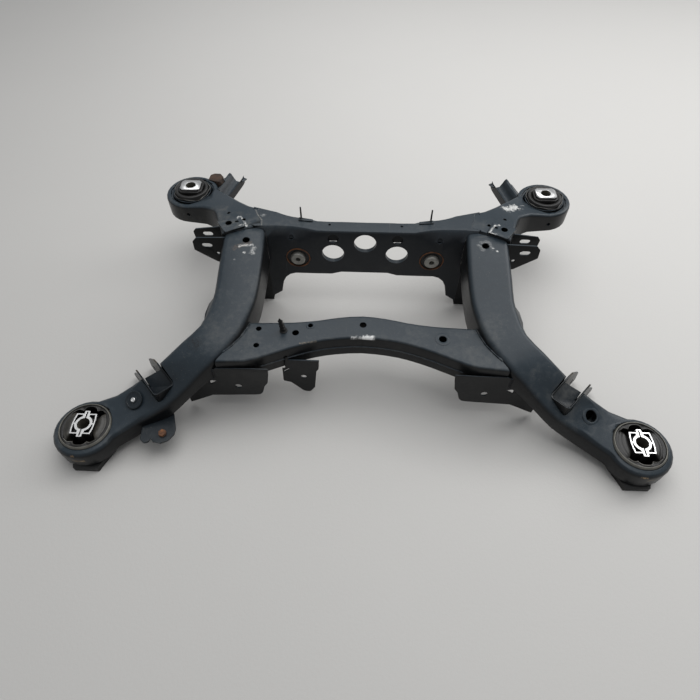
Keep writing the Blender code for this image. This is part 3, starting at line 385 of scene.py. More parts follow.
# the painted sheen on tops and the wall lightness are scaled part by part, painting some parts lighter and others
# darker as light falls on them
special = {
    "left_side_member": coatFinish("coatLeftMember", scuff["leftMember"], bevel=0.0040),
    "right_side_member": coatFinish("coatRightMember", scuff["rightMember"], bevel=0.0040),
    "right_rear_arm": coatFinish("coatRightArm", scuff["rightArm"], 1.3, 1.1),
    "right_joint_plate": coatFinish("coatRightPlate", scuff["rightPlate"], 2.0, 1.4),
    "left_joint_plate": coatFinish("coatLeftPlate", scuff["leftPlate"], 2.0, 1.3),
    "left_rear_arm": coatFinish("coatLeftArm", scuff["leftPlate"] + scuff["leftFlange"], 2.0, 1.3),
    # the rear crossmember's walls are painted lighter, a painted light on them
    "rear_crossmember": coatFinish("coatRearCross", scuff["leftFlange"], wallLightScale=3.8),
    "front_crossmember_upper": coatFinish("coatFrontCross", scuff["frontCross"]),
    "left_link_bracket": coatFinish("coatLeftLink", sheenScale=0.45, raw={"side": -1, **rawEars}),
    "right_link_bracket": coatFinish("coatRightLink", sheenScale=0.45, raw={"side": 1, **rawEars}),
    "left_diff_bush_core": metalFinish("leftDiffCore", *diffCore),
    "right_diff_bush_core": metalFinish("rightDiffCore", *diffCore),
    "right_leg": coatFinish("coatDirty", (), 1.8, 0.8, 0.5),
    "left_rear_bush_sleeve": coatFinish("leftSleeveCoated"),
    "right_rear_bush_sleeve": coatFinish("rightSleeveCoated"),
    "sensor_bracket": coatFinish("coatSensor", sheenScale=0.50),
    "rusty_lug": rustFinish("lugRusty", (0.058, 0.031, 0.017), (0.022, 0.014, 0.010), (0.040, 0.038, 0.036), 0.5),
}
print("finishes ready")


# A CAD node as a seamless, smooth piece that stands for it

smoothing = {"angle": 34, "merge": 0.00002, "spunMerge": 0.00001}


def focus(obj):
    bpy.ops.object.select_all(action="DESELECT")
    obj.hide_set(False)
    obj.select_set(True)
    bpy.context.view_layer.objects.active = obj


def fresh(name, add, **settings):
    # a new object under its own name, with nothing else selected
    bpy.ops.object.select_all(action="DESELECT")
    add(**settings)
    bpy.context.object.name = name
    return bpy.context.object


def facedOut():
    bpy.ops.mesh.select_all(action="SELECT")
    bpy.ops.mesh.normals_make_consistent(inside=False)
    bpy.ops.object.mode_set(mode="OBJECT")


def carve(piece, cutter):
    focus(piece)
    bpy.ops.object.modifier_add(type="BOOLEAN")
    piece.modifiers[-1].object = cutter
    piece.modifiers[-1].solver = "EXACT"
    bpy.ops.object.modifier_apply(modifier=piece.modifiers[-1].name)
    bpy.data.objects.remove(cutter)


def surfaceOf(node):
    # the skin of a CAD node, to cast rays at
    mesh = bmesh.new()
    mesh.from_mesh(frame["nodes"][node].data)
    surface = BVHTree.FromBMesh(mesh)
    mesh.free()
    return surface


def standIn(node, name):
    source = frame["nodes"][node]
    piece = source.copy()
    piece.data = source.data.copy()
    piece.name = name
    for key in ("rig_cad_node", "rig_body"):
        if key in piece:
            del piece[key]
    bpy.context.collection.objects.link(piece)
    focus(piece)
    bpy.ops.object.mode_set(mode="EDIT")
    bpy.ops.mesh.select_all(action="SELECT")
    bpy.ops.mesh.remove_doubles(threshold=smoothing["merge"])
    bpy.ops.object.mode_set(mode="OBJECT")
    bpy.ops.object.shade_smooth_by_angle(angle=math.radians(smoothing["angle"]))
    return piece


def dress(piece, node):
    piece.data.materials.clear()
    piece.data.materials.append(special.get(node, finishes[slotOf[node]]))
    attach(piece, "root")
    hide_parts(node)


# nodes that a piece of its own stands for, further down
remade = {side + "_front_bush_" + kind for side in ("left", "right") for kind in ("core", "rubber", "sleeve")}
remade |= {"plug_disc", "cable_clip"}

# holes cut in the stand-ins alone, as place, way out, radius and depth: a small blind one in each rear arm, the
# right front arm's hole where its rim sits, and wider mouths on the crossmember
crossHoles = ((0.1640, -0.14327, 0.0079), (0.0010, -0.11177, 0.0072), (-0.1370, -0.13777, 0.0070),
              (-0.2140, -0.12977, 0.0058), (-0.2130, -0.17277, 0.0058))
drilled = {"left_rear_arm": [((-0.4378, 0.2210, 0.1642), (-0.2, -0.98, 0.0), 0.0045, 0.0060)],
           "right_rear_arm": [((0.4440, 0.2222, 0.1605), (0.18, -0.98, 0.0), 0.0045, 0.0060)],
           "right_side_member": [((0.4617, -0.2655, 0.0815), (0.26, -0.12, 0.95), 0.0122, 0.0220)],
           "front_crossmember_upper": [((x, y, 0.158), (0, 0, 1), radius, 0.0080) for x, y, radius in crossHoles]}

blend = {"centre": (0.5500, -0.31777), "from": 0.0480, "to": 0.1350, "above": 0.0550, "level": 0.75, "cuts": 4,
         "rounds": 40, "factor": 0.5}


def easeBlend(piece, sign):
    # the arm's top runs into the eye in long facets, so they are divided and relaxed
    centre = Vector((blend["centre"][0] * sign, blend["centre"][1]))
    focus(piece)
    bpy.ops.object.mode_set(mode="EDIT")
    bpy.ops.mesh.select_all(action="DESELECT")
    mesh = bmesh.from_edit_mesh(piece.data)
    for face in mesh.faces:
        away = (face.calc_center_median().xy - centre).length
        face.select_set(blend["from"] < away < blend["to"] and face.normal.z > blend["level"]
                        and min(vertex.co.z for vertex in face.verts) > blend["above"])
    bmesh.update_edit_mesh(piece.data)
    bpy.ops.mesh.subdivide(number_cuts=blend["cuts"])
    mesh = bmesh.from_edit_mesh(piece.data)
    inner = [vertex for vertex in mesh.verts if vertex.select and all(face.select for face in vertex.link_faces)]
    for vertex in mesh.verts:
        vertex.select_set(False)
    for vertex in inner:
        vertex.select_set(True)
    bmesh.update_edit_mesh(piece.data)
    bpy.ops.mesh.vertices_smooth(factor=blend["factor"], repeat=blend["rounds"])
    bpy.ops.object.mode_set(mode="OBJECT")
    bpy.ops.object.shade_smooth_by_angle(angle=math.radians(smoothing["angle"]))


def drillSide(piece, place, outward, radius, deep):
    turned = Vector(outward).normalized().to_track_quat("Z", "Y").to_euler()
    carve(piece, fresh("bore", bpy.ops.mesh.primitive_cylinder_add, vertices=32, radius=radius, depth=deep * 2,
                       location=place, rotation=turned))


bareTop = {"level": 0.7, "skin": 0.0005, "rearBore": 0.0121}


def paintCore(piece, middle, bore):
    # only the machined top is bare and the bore is dull metal, the rest is moulded over
    top = max(vertex.co.z for vertex in piece.data.vertices)
    for face in piece.data.polygons:
        bare = face.normal.z > bareTop["level"] and face.center.z > top - bareTop["skin"]
        face.material_index = 0 if bare else 2 if (face.center.xy - middle).length < bore else 1


for node in sorted(set(frame["nodes"]) - remade):
    piece = standIn(node, node + "_smooth")
    for hole in drilled.get(node, ()):
        drillSide(piece, *hole)
    if node.endswith("_side_member"):
        easeBlend(piece, 1 if node.startswith("right") else -1)
    bpy.ops.object.modifier_add(type="WEIGHTED_NORMAL")
    piece.modifiers[-1].keep_sharp = True
    bpy.ops.object.modifier_apply(modifier=piece.modifiers[-1].name)
    dress(piece, node)
    if node.endswith("_rear_bush_core"):
        piece.data.materials.append(finishes["bush_rubber"])
        piece.data.materials.append(finishes["sleeve_metal"])
        low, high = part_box(node)
        paintCore(piece, ((low + high) / 2).xy, bareTop["rearBore"])
print("nodes smoothed")


# Shapes that several pieces share

def around(centre, radius, turnTo, height):
    return centre[0] + radius * math.cos(turnTo), centre[1] + radius * math.sin(turnTo), height


def prism(name, outline, low, high):
    # a filled circle whose rim is moved onto the outline, then drawn up
    piece = fresh(name, bpy.ops.mesh.primitive_circle_add, vertices=len(outline), radius=1, fill_type="NGON")
    for vertex, (x, y) in zip(piece.data.vertices, outline):
        vertex.co = (x, y, low)
    bpy.ops.object.mode_set(mode="EDIT")
    bpy.ops.mesh.select_all(action="SELECT")
    bpy.ops.mesh.extrude_region_move(TRANSFORM_OT_translate={"value": (0, 0, high - low)})
    facedOut()
    return piece


def spun(name, profile, centre, steps=64):
    # a closed outline of radius and height, turned round a standing axis
    piece = fresh(name, bpy.ops.mesh.primitive_circle_add, vertices=len(profile), radius=1, fill_type="NOTHING")
    for vertex, (radius, height) in zip(piece.data.vertices, profile):
        vertex.co = (centre[0] + radius, centre[1], height)
    bpy.ops.object.mode_set(mode="EDIT")
    bpy.ops.mesh.select_all(action="SELECT")
    bpy.ops.mesh.spin(steps=steps, angle=math.tau, center=(*centre, 0), axis=(0, 0, 1))
    bpy.ops.mesh.select_all(action="SELECT")
    bpy.ops.mesh.remove_doubles(threshold=smoothing["spunMerge"])
    facedOut()
    return piece


def bevelled(piece, width, segments, angle):
    focus(piece)
    bpy.ops.object.modifier_add(type="BEVEL")
    modifier = piece.modifiers[-1]
    modifier.width = width
    modifier.segments = segments
    modifier.limit_method = "ANGLE"
    modifier.angle_limit = math.radians(angle)
    bpy.ops.object.modifier_apply(modifier=modifier.name)


def settle(piece, finish, nodes=(), angle=35):
    focus(piece)
    bpy.ops.object.transform_apply(location=True, rotation=True, scale=True)
    bpy.ops.object.shade_smooth_by_angle(angle=math.radians(angle))
    piece.data.materials.clear()
    for material in finish if isinstance(finish, (list, tuple)) else [finish]:
        piece.data.materials.append(material)
    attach(piece, "root")
    if nodes:
        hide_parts(*nodes)


def arc(centre, radius, first, last, count):
    steps = [math.radians(first + (last - first) * number / (count - 1)) for number in range(count)]
    return [(centre[0] + radius * math.cos(step), centre[1] + radius * math.sin(step)) for step in steps]


# Front bushes: machined core face, two rubber lobes, a wavy lip over the voids, a rolled sleeve

frontBush = {"x": 0.5500, "y": -0.31777, "top": 0.0735, "low": 0.0137, "hole": 0.0125, "ring": 0.0174,
             "pocketDepth": 0.0090, "slit": 0.0014, "slitStart": 0.0110, "slitEnd": 0.0264, "slitTip": 0.0010,
             "tab": 0.0052, "tabEnd": 0.0292, "tabRound": 0.0012, "above": 0.1,
             "frame": [(0.0203, 0.0226), (0.0219, 0.0113), (0.0226, 0.0)], "line": 0.0026,
             "pocketStart": (0.0068, 0.0016), "boreSkin": 0.0002,
             "sleeveOut": 0.0522, "sleeveIn": 0.0476, "sleeveTop": 0.0668, "sleeveTopBand": 0.0024, "sleeveMouth": 0.0007,
             "sleeveRoll": [(0.0, 0.0052), (0.0004, 0.0038), (0.0022, 0.0006), (0.0030, 0.0)]}
# the lobes' brown-grey film is a painted sheen, painted lighter on the left lobe than on the right
rubberLobe = {"left": rubberFinish("rubberLobeLeft", (0.013, 0.0120, 0.0100), (0.066, 0.060, 0.048), 0.60, 0.40),
              "right": rubberFinish("rubberLobeRight", (0.0070, 0.0067, 0.0060), (0.022, 0.0205, 0.017), 0.45, 0.40)}
# rubberEdge is painted lighter than the black rubber, a painted highlight along the thin lips' rims
rubberEdge = rubberFinish("rubberEdge", (0.012, 0.0118, 0.011), (0.16, 0.155, 0.14), 0.55, 0.40)
# the upward-facing top band of the sleeve gets this lighter metal, its rolled side the darker one
sleeveTopBand = metalFinish("sleeveTopBand", (0.150, 0.146, 0.128), (0.040, 0.039, 0.034), 0.34, 0.45, 0.55)
# the near lip's rubber is painted light, a painted highlight along it
rubberPaintedHighlight = rubberFinish("rubberPaintedHighlight", (0.030, 0.029, 0.026), (0.260, 0.250, 0.225), 0.85, 0.35)
sleeveRolled = metalFinish("sleeveRolled", (0.052, 0.051, 0.046), (0.010, 0.010, 0.009), 0.32, 0.40, 0.60)


# the rubber's outer skin: how thin its wavy edge gets over the voids, and the free lip that runs along it
lip = {"top": 0.0648, "depth": 0.0300, "waves": 8, "inset": 0.0003, "columns": 144, "rows": 7, "thin": 0.0026,
       "even": 0.0012, "swell": 0.0066, "sharp": 1.8, "voidFrom": 0.45, "solid": 0.0040, "sag": 0.0030,
       "hands": {"near": 222, "far": 42}, "sweep": 96, "thick": 0.0010, "over": 0.0011, "back": 0.0004}
lobeForm = {"grid": (28, 16), "spread": 50, "narrower": 9, "core": 0.0205, "inset": 0.0005, "base": 0.0552,
            "rise": 0.0042, "inward": 0.0045, "shoulder": 0.0060, "groove": 0.0012, "grooveAt": 0.62,
            "grooveWide": 0.07, "deep": 0.0400}


def tube(name, points, radii, depth, closed=False):
    # a tube through points, with its own thickness at each
    piece = fresh(name, bpy.ops.curve.primitive_nurbs_path_add)
    piece.data.splines.clear()
    run = piece.data.splines.new("POLY")
    run.points.add(len(points) - 1)
    for point, spot, radius in zip(run.points, points, radii):
        point.co = (*spot, 1)
        point.radius = radius
    run.use_cyclic_u = closed
    piece.data.bevel_depth = depth
    piece.data.bevel_resolution = 1
    piece.data.use_fill_caps = not closed
    focus(piece)
    bpy.ops.object.convert(target="MESH")
    return bpy.context.object


def frontCore(side, centre):
    half, line = frontBush["frame"], frontBush["line"]
    corner = half[0]
    rim = [*half, *[(x, -y) for x, y in half[1::-1]]]                              # right edge, downwards
    tab, end, soft = frontBush["tab"], frontBush["tabEnd"], frontBush["tabRound"]
    under = [(tab, -corner[1]), (tab, -end + soft), (tab - soft, -end), (-tab + soft, -end), (-tab, -end + soft),
             (-tab, -corner[1])]
    left = [(-x, -y) for x, y in rim]
    over = [(-x, -y) for x, y in under]
    outline = [(centre[0] + x, centre[1] + y) for x, y in rim + under + left + over]
    piece = prism(side + "_front_core", outline[::-1], frontBush["low"], frontBush["top"])
    carve(piece, prism("hole", arc(centre, frontBush["hole"], 0, 352.5, 48), 0.0, frontBush["above"]))
    floor = frontBush["top"] - frontBush["pocketDepth"]
    startX, startY = frontBush["pocketStart"]
    pocket = [(half[2][0] - line, startY), (half[1][0] - line, half[1][1]), (corner[0] - line, corner[1] - line),
              (startX, corner[1] - line), *arc((0, 0), frontBush["ring"], 66, 6, 8)]
    for sx in (-1, 1):
        for sy in (-1, 1):
            mirrored = [(centre[0] + x * sx, centre[1] + y * sy) for x, y in pocket]
            carve(piece, prism("pocket", mirrored, floor, frontBush["above"]))
    wide, first, last = frontBush["slit"], frontBush["slitStart"], frontBush["slitEnd"]
    slit = [(-wide, first), (wide, first), (wide, last), (0.0, last + frontBush["slitTip"]), (-wide, last)]
    for sy in (-1, 1):
        mirrored = [(centre[0] + x, centre[1] + y * sy) for x, y in slit]
        carve(piece, prism("slit", mirrored, floor, frontBush["above"]))
    settle(piece,
           [finishes["machined_aluminium"], finishes["bush_rubber"], finishes["sleeve_metal"]],
           [side + "_front_bush_core"])
    paintCore(piece, Vector(centre), frontBush["hole"] + frontBush["boreSkin"])


def frontSleeve(side, centre):
    out, inside, top = frontBush["sleeveOut"], frontBush["sleeveIn"], frontBush["sleeveTop"]
    low = frontBush["low"]
    profile = [(inside, low), (out, low), *[(out - inward, top - down) for inward, down in frontBush["sleeveRoll"]],
               (inside + frontBush["sleeveMouth"], top), (inside, top - 0.0010)]
    sleeve = spun(side + "_front_sleeve", profile, centre, 72)
    settle(sleeve, [sleeveRolled, sleeveTopBand], [side + "_front_bush_sleeve"])
    # upward faces near the top get the lighter metal
    for face in sleeve.data.polygons:
        face.material_index = 1 if face.normal.z > 0.3 and face.center.z > top - frontBush["sleeveTopBand"] else 0


def lipAt(turnTo):
    # how thick the skin is at this turn, and how high its edge stands
    wave = 1 - abs(math.cos(turnTo * lip["waves"] / 2))
    void = max(0.0, abs(math.sin(turnTo)) - lip["voidFrom"]) / (1 - lip["voidFrom"])
    swell = (lip["even"] + lip["swell"] * wave ** lip["sharp"]) * min(1.0, void * 2.2)
    thin = lip["thin"] + swell + lip["solid"] * (1 - min(1.0, void * 3))
    return thin, lip["top"] - lip["sag"] * wave * min(1.0, void * 2)


def skinRing(outer, turnTo):
    top = lip["top"]
    thin, rise = lipAt(turnTo)
    return [(outer, top - lip["depth"]), (outer, top - 0.0010), (outer - 0.0006, rise + 0.0006),
            (outer - thin * 0.5, rise + 0.0010), (outer - thin + 0.0006, rise + 0.0004),
            (outer - thin, rise - 0.0008), (outer - thin * 0.9, rise - 0.010),
            (outer - thin * 0.6, top - lip["depth"])]


def frontSkin(side, centre, outer):
    # the outer skin of the rubber, with a wavy inner edge where the voids are
    skin = fresh(side + "_front_rubber_skin", bpy.ops.mesh.primitive_grid_add, x_subdivisions=lip["columns"],
                 y_subdivisions=lip["rows"], size=1)
    for vertex in skin.data.vertices:
        turnTo = (vertex.co.x + 0.5) * math.tau
        radius, height = skinRing(outer, turnTo)[round((vertex.co.y + 0.5) * lip["rows"])]
        vertex.co = around(centre, radius, turnTo, height)
    focus(skin)
    bpy.ops.object.mode_set(mode="EDIT")
    bpy.ops.mesh.select_all(action="SELECT")
    bpy.ops.mesh.remove_doubles(threshold=smoothing["merge"])
    bpy.ops.mesh.select_all(action="DESELECT")
    bpy.ops.mesh.select_non_manifold()
    bpy.ops.mesh.bridge_edge_loops()
    facedOut()
    settle(skin, finishes["bush_rubber"], [side + "_front_bush_rubber"])


def frontLip(side, centre, outer, hand):
    # a free lip along the skin's edge, painted lighter on the near side as a painted highlight
    points, radii = [], []
    for number in range(lip["sweep"] + 1):
        turnTo = math.radians(lip["hands"][hand] + number)
        thin, rise = lipAt(turnTo)
        radius = outer - thin + lip["back"]
        points.append(around(centre, radius, turnTo, rise + lip["over"]))
        radii.append(0.35 + 0.65 * math.sin(math.pi * number / lip["sweep"]) ** 0.5)
    settle(tube(side + "_front_lip_" + hand, points, radii, lip["thick"]),
           rubberPaintedHighlight if hand == "near" else rubberEdge, angle=60)


def frontLobe(side, centre, outer, hand):
    # one lobe between core and sleeve, domed, with rounded shoulders towards the voids
    columns, rows = lobeForm["grid"]
    lobe = fresh(side + "_front_rubber_lobe_" + ("outer" if hand > 0 else "inner"), bpy.ops.mesh.primitive_grid_add,
                 x_subdivisions=columns, y_subdivisions=rows, size=1)
    for vertex in lobe.data.vertices:
        across, away = vertex.co.x * 2, vertex.co.y + 0.5
        angle = across * math.radians(lobeForm["spread"] - lobeForm["narrower"] * (1 - away))
        inner = lobeForm["core"] / max(math.cos(angle), 0.6)
        radius = inner + (outer - lobeForm["inset"] - inner) * away
        shoulder = max(0.0, 1 - abs(across) ** 6)
        dome = 4 * away * (1 - away)
        z = lobeForm["base"] + lobeForm["rise"] * dome + lobeForm["inward"] * (1 - away)
        z += lobeForm["shoulder"] * shoulder ** 0.5
        z -= lobeForm["groove"] * math.exp(-((away - lobeForm["grooveAt"]) / lobeForm["grooveWide"]) ** 2)
        vertex.co = (centre[0] + radius * math.cos(angle) * hand, centre[1] + radius * math.sin(angle), z)
    focus(lobe)
    bpy.ops.object.mode_set(mode="EDIT")
    bpy.ops.mesh.select_all(action="SELECT")
    bpy.ops.mesh.extrude_region_move(TRANSFORM_OT_translate={"value": (0, 0, -lobeForm["deep"])})
    facedOut()
    settle(lobe, rubberLobe[side], angle=60)


for side, sign in (("left", -1), ("right", 1)):
    centre = (frontBush["x"] * sign, frontBush["y"])
    frontCore(side, centre)
    frontSleeve(side, centre)
    outer = frontBush["sleeveIn"] - lip["inset"]
    frontSkin(side, centre, outer)
    for hand in lip["hands"]:
        frontLip(side, centre, outer, hand)
    for hand in (-1, 1):
        frontLobe(side, centre, outer, hand)
print("front bushes ready")


# Rear bushes: a squarish rubber collar round the core and a thin wavy lip on the rubber ring

rearBush = {"x": 0.4375, "y": 0.28573, "collar": (0.0290, 0.0238, 0.0085), "collarLow": 0.1880, "collarTop": 0.1998,
            "hole": (0.0247, 0.0197, 0.0066), "cut": (0.1, 0.3), "bevel": (0.0012, 3, 40), "lipRadius": 0.0432,
            "lipHeight": 0.1905, "lipThick": 0.0013, "wave": 0.0016, "dip": 0.0018, "wobble": (0.0014, 0.0008),
            "points": 120}


def rearCollar(side, centre):
    def octagon(size):
        across, away, corner = size
        half = [(across, -away + corner), (across, away - corner), (across - corner, away), (-across + corner, away)]
        return [(centre[0] + x, centre[1] + y) for x, y in half + [(-x, -y) for x, y in half]]

    piece = prism(side + "_rear_collar", octagon(rearBush["collar"]), rearBush["collarLow"], rearBush["collarTop"])
    carve(piece, prism("hole", octagon(rearBush["hole"]), *rearBush["cut"]))
    bevelled(piece, *rearBush["bevel"])
    settle(piece, finishes["bush_rubber"])
    points, radii = [], []
    large, small = rearBush["wobble"]
    for number in range(rearBush["points"]):
        turnTo = math.tau * number / rearBush["points"]
        radius = rearBush["lipRadius"] + large * math.sin(turnTo * 5 + 0.6) + small * math.sin(turnTo * 11)
        height = rearBush["lipHeight"] + rearBush["wave"] * math.sin(turnTo * 3 + 1.1)
        height += rearBush["dip"] * math.sin(turnTo)
        points.append(around(centre, radius, turnTo, height))
        radii.append(1 + 0.3 * math.sin(turnTo * 7))
    settle(tube(side + "_rear_lip", points, radii, rearBush["lipThick"], True), rubberEdge, angle=60)


for side, sign in (("left", -1), ("right", 1)):
    rearCollar(side, (rearBush["x"] * sign, rearBush["y"]))
print("rear bushes ready")


# Front arm holes: a plug disc with a bright stud on the left, an embossed rim on the right

armHole = {"left": (-0.4592, -0.2640), "right": (0.4617, -0.2655), "reach": 0.0225, "rays": 12, "from": 0.3}
plug = {"disc": [(0.0135, -0.0040), (0.0138, 0.0014), (0.0172, 0.0020), (0.0186, 0.0028), (0.0190, 0.0040),
                 (0.0184, 0.0050), (0.0160, 0.0054), (0.0148, 0.0047), (0.0074, 0.0047), (0.0070, 0.0056),
                 (0.0046, 0.0057), (0.0030, 0.0030), (0.0010, 0.0028), (0.0010, -0.0040)],
        "stud": [(0.0008, 0.0020), (0.0044, 0.0022), (0.0047, 0.0072), (0.0038, 0.0082), (0.0016, 0.0076),
                 (0.0008, 0.0064)]}
rim = {"profile": [(0.0121, -0.0040), (0.0121, 0.0002), (0.0127, 0.0006), (0.0139, 0.0007), (0.0163, 0.0004),
                   (0.0189, -0.0004), (0.0195, -0.0040)]}


def onArm(node, spot):
    # the plane that the arm's top makes round this spot
    surface, reach, rays = surfaceOf(node), armHole["reach"], armHole["rays"]
    touched = []
    for number in range(rays):
        turnTo = math.tau * number / rays
        start = Vector(around(spot, reach, turnTo, armHole["from"]))
        hit = surface.ray_cast(start, Vector((0, 0, -1)))[0]
        if hit:
            touched.append(hit)
    middle = sum(touched, Vector()) / len(touched)
    normal = Vector()
    for number, hit in enumerate(touched):
        following = touched[(number + rays // 4) % len(touched)]
        cross = (hit - middle).cross(following - middle)
        normal += cross if cross.z > 0 else -cross
    return middle, normal.normalized()


def laid(piece, middle, normal):
    focus(piece)
    piece.rotation_euler = normal.to_track_quat("Z", "Y").to_euler()
    piece.location = middle
    bpy.ops.object.transform_apply(location=True, rotation=True, scale=True)
    return piece


middle, normal = onArm("left_side_member", armHole["left"])
settle(laid(spun("plug_disc_dished", plug["disc"], (0, 0), 48), middle, normal),
       coatFinish("coatPlug", (), 1.8, 0.55), ["plug_disc"])
settle(laid(spun("plug_stud", plug["stud"], (0, 0), 24), middle, normal),
       finishes["machined_aluminium"])
middle, normal = onArm("right_side_member", armHole["right"])
settle(laid(spun("right_arm_rim", rim["profile"], (0, 0), 48), middle, normal),
       special["right_side_member"])
print("arm holes ready")


# Blind weld nuts under the two small holes of the rear crossmember's flange

weldNut = {"x": 0.0810, "y": 0.1213, "beside": 0.0045, "below": 0.1900,
           "profile": [(0.0004, -0.0090), (0.0056, -0.0090), (0.0062, -0.0084), (0.0062, -0.0002), (0.0026, -0.0002),
                       (0.0026, -0.0050), (0.0004, -0.0056)]}


def underFlange(x, y):
    start = Vector((x + weldNut["beside"], y, weldNut["below"]))
    return surfaceOf("rear_crossmember").ray_cast(start, Vector((0, 0, 1)))[0].z


for side, sign in (("left", -1), ("right", 1)):
    spot = (weldNut["x"] * sign, weldNut["y"])
    height = underFlange(*spot)
    profile = [(radius, height + rise) for radius, rise in weldNut["profile"]]
    settle(spun(side + "_weld_nut", profile, spot, 24), special["rear_crossmember"])
print("weld nuts ready")


# Pressed rims round two holes of the front crossmember

crossRims = {"light": {"at": (-0.1080, -0.11777),
                       "profile": [(0.0052, -0.001), (0.0052, 0.0006), (0.0060, 0.0012), (0.0086, 0.0010),
                                   (0.0092, 0.0002), (0.0092, -0.001)]},
             "swage": {"at": (0.1640, -0.14327),
                       "profile": [(0.0081, -0.001), (0.0081, 0.0002), (0.0090, 0.0007), (0.0125, 0.0010),
                                   (0.0160, 0.0004), (0.0164, -0.001)]}}
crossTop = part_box("front_crossmember_upper")[1].z
for name, row in crossRims.items():
    piece = spun("cross_rim_" + name, row["profile"], (0, 0), 40)
    laid(piece, Vector((*row["at"], crossTop)), Vector((0, 0, 1)))
    # the light rim's coat is painted lighter, a stronger painted sheen with more dust, as a painted highlight; the
    # swage keeps the plain coat
    lighter = coatFinish("coatRimPaintedHighlight", (), 2.0, 2.4) if name == "light" else finishes["black_ecoat"]
    settle(piece, lighter)
print("crossmember rims ready")


# Cable clip: a push-in fir tree that leans over, with its washer

clip = {"lean": (-0.16, 0.05), "leanFrom": 0.003, "fins": 4, "first": 0.0064, "pitch": 0.0072, "fin": 0.0060,
        "taper": (1.12, 0.09), "stem": 0.0022, "head": 0.0360, "squeeze": 0.62,
        "washer": [(0.0008, 0.0002), (0.0078, 0.0002), (0.0082, 0.0010), (0.0070, 0.0019), (0.0034, 0.0024)]}


def cableClip():
    low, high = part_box("cable_clip")
    stem, head = clip["stem"], clip["head"]
    profile = list(clip["washer"])
    for number in range(clip["fins"]):
        height = clip["first"] + clip["pitch"] * number
        wide = clip["fin"] * (clip["taper"][0] - clip["taper"][1] * number)
        profile += [(stem, height - 0.0012), (wide, height), (wide - 0.0003, height + 0.0012), (stem, height + 0.0034)]
    profile += [(stem * 0.9, head - 0.0020), (stem * 0.45, head), (0.0002, head + 0.0004), (0.0002, 0.0002)]
    piece = spun("cable_clip_fir", profile, (0, 0), 20)
    for vertex in piece.data.vertices:
        above = vertex.co.z - clip["leanFrom"]
        if above > 0:
            # the fins are blades more than cones
            flat = abs(math.cos(math.atan2(vertex.co.y, vertex.co.x)))
            vertex.co.y *= clip["squeeze"] + (1 - clip["squeeze"]) * flat
            vertex.co.x += clip["lean"][0] * above
            vertex.co.y += clip["lean"][1] * above
    piece.location = ((low.x + high.x) / 2, (low.y + high.y) / 2, low.z)
    settle(piece, finishes["clip_plastic"], ["cable_clip"])


cableClip()
print("clip ready")


# Weld beads: a rippled run along the seam where one node's cut end meets its neighbour

weld = {"reach": (0.0005, 0.0012, 0.0025), "lowest": -0.3, "inward": 0.5, "radius": 0.0019, "step": 0.0017,
        "ripple": 0.20, "uneven": 0.10, "tip": 0.55, "shortest": 0.014, "seed": 5}
weldFinish = coatFinish("coatWeld", (), 1.4, 1.25)


def seamPaths(node, neighbour, reach):
    # the edges between a face that lies on the neighbour and one that is free, joined end to end
    mesh = bmesh.new()
    mesh.from_mesh(frame["nodes"][node].data)
    bmesh.ops.remove_doubles(mesh, verts=mesh.verts, dist=smoothing["merge"])
    surface = surfaceOf(neighbour)
    low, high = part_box(node)
    middle = (low + high) / 2
    near = {vertex: surface.find_nearest(vertex.co)[3] < reach for vertex in mesh.verts}
    mating = {face for face in mesh.faces if all(near[vertex] for vertex in face.verts)}
    links = {}
    for edge in mesh.edges:
        if len(edge.link_faces) != 2:
            continue
        free = [face for face in edge.link_faces if face not in mating]
        if len(free) != 1 or free[0].normal.z < weld["lowest"]:
            continue
        first, second = edge.verts
        outward = (first.co + second.co) / 2 - middle
        if outward.dot(free[0].normal) < 0 and free[0].normal.z < weld["inward"]:
            continue
        links.setdefault(first, []).append(second)
        links.setdefault(second, []).append(first)
    paths = []
    while links:
        ends = [vertex for vertex in links if len(links[vertex]) == 1]
        current = min(ends or links, key=lambda vertex: vertex.index)
        path = [current.co.copy()]
        while links.get(current):
            following = links[current].pop(0)
            links[following].remove(current)
            path.append(following.co.copy())
            if not links[current]:
                del links[current]
            current = following
        if current in links and not links[current]:
            del links[current]
        paths.append(path)
    mesh.free()
    return paths


def evenly(path, step):
    points, left = [path[0]], step
    for first, second in zip(path, path[1:]):
        gone, length = 0.0, (second - first).length
        while length - gone >= left:
            gone += left
            left = step
            points.append(first.lerp(second, gone / length))
        left -= length - gone
    return points


def weldBead(path, radius, chance):
    points = evenly(path, weld["step"])
    for _ in range(2):
        points = [points[0], *[(a + b * 2 + c) / 4 for a, b, c in zip(points, points[1:], points[2:])], points[-1]]
    uneven = weld["uneven"]
    radii = [1 + weld["ripple"] * (-1) ** number + chance.uniform(-uneven, uneven) for number in range(len(points))]
    radii[0] = radii[-1] = weld["tip"]
    return tube("bead", points, radii, radius)


def weldSeam(node, neighbour, radius=weld["radius"]):
    # the nearest reach at which the two make a seam is the one that counts
    chance = random.Random(weld["seed"])
    beads = []
    for reach in weld["reach"]:
        for path in [] if beads else seamPaths(node, neighbour, reach):
            if sum((b - a).length for a, b in zip(path, path[1:])) > weld["shortest"]:
                beads.append(weldBead(path, radius, chance))
    bpy.ops.object.select_all(action="DESELECT")
    for bead in beads:
        bead.select_set(True)
    bpy.context.view_layer.objects.active = beads[0]
    if len(beads) > 1:
        bpy.ops.object.join()
    beads[0].name = "weld_" + node + "_to_" + neighbour
    settle(beads[0], weldFinish, angle=50)


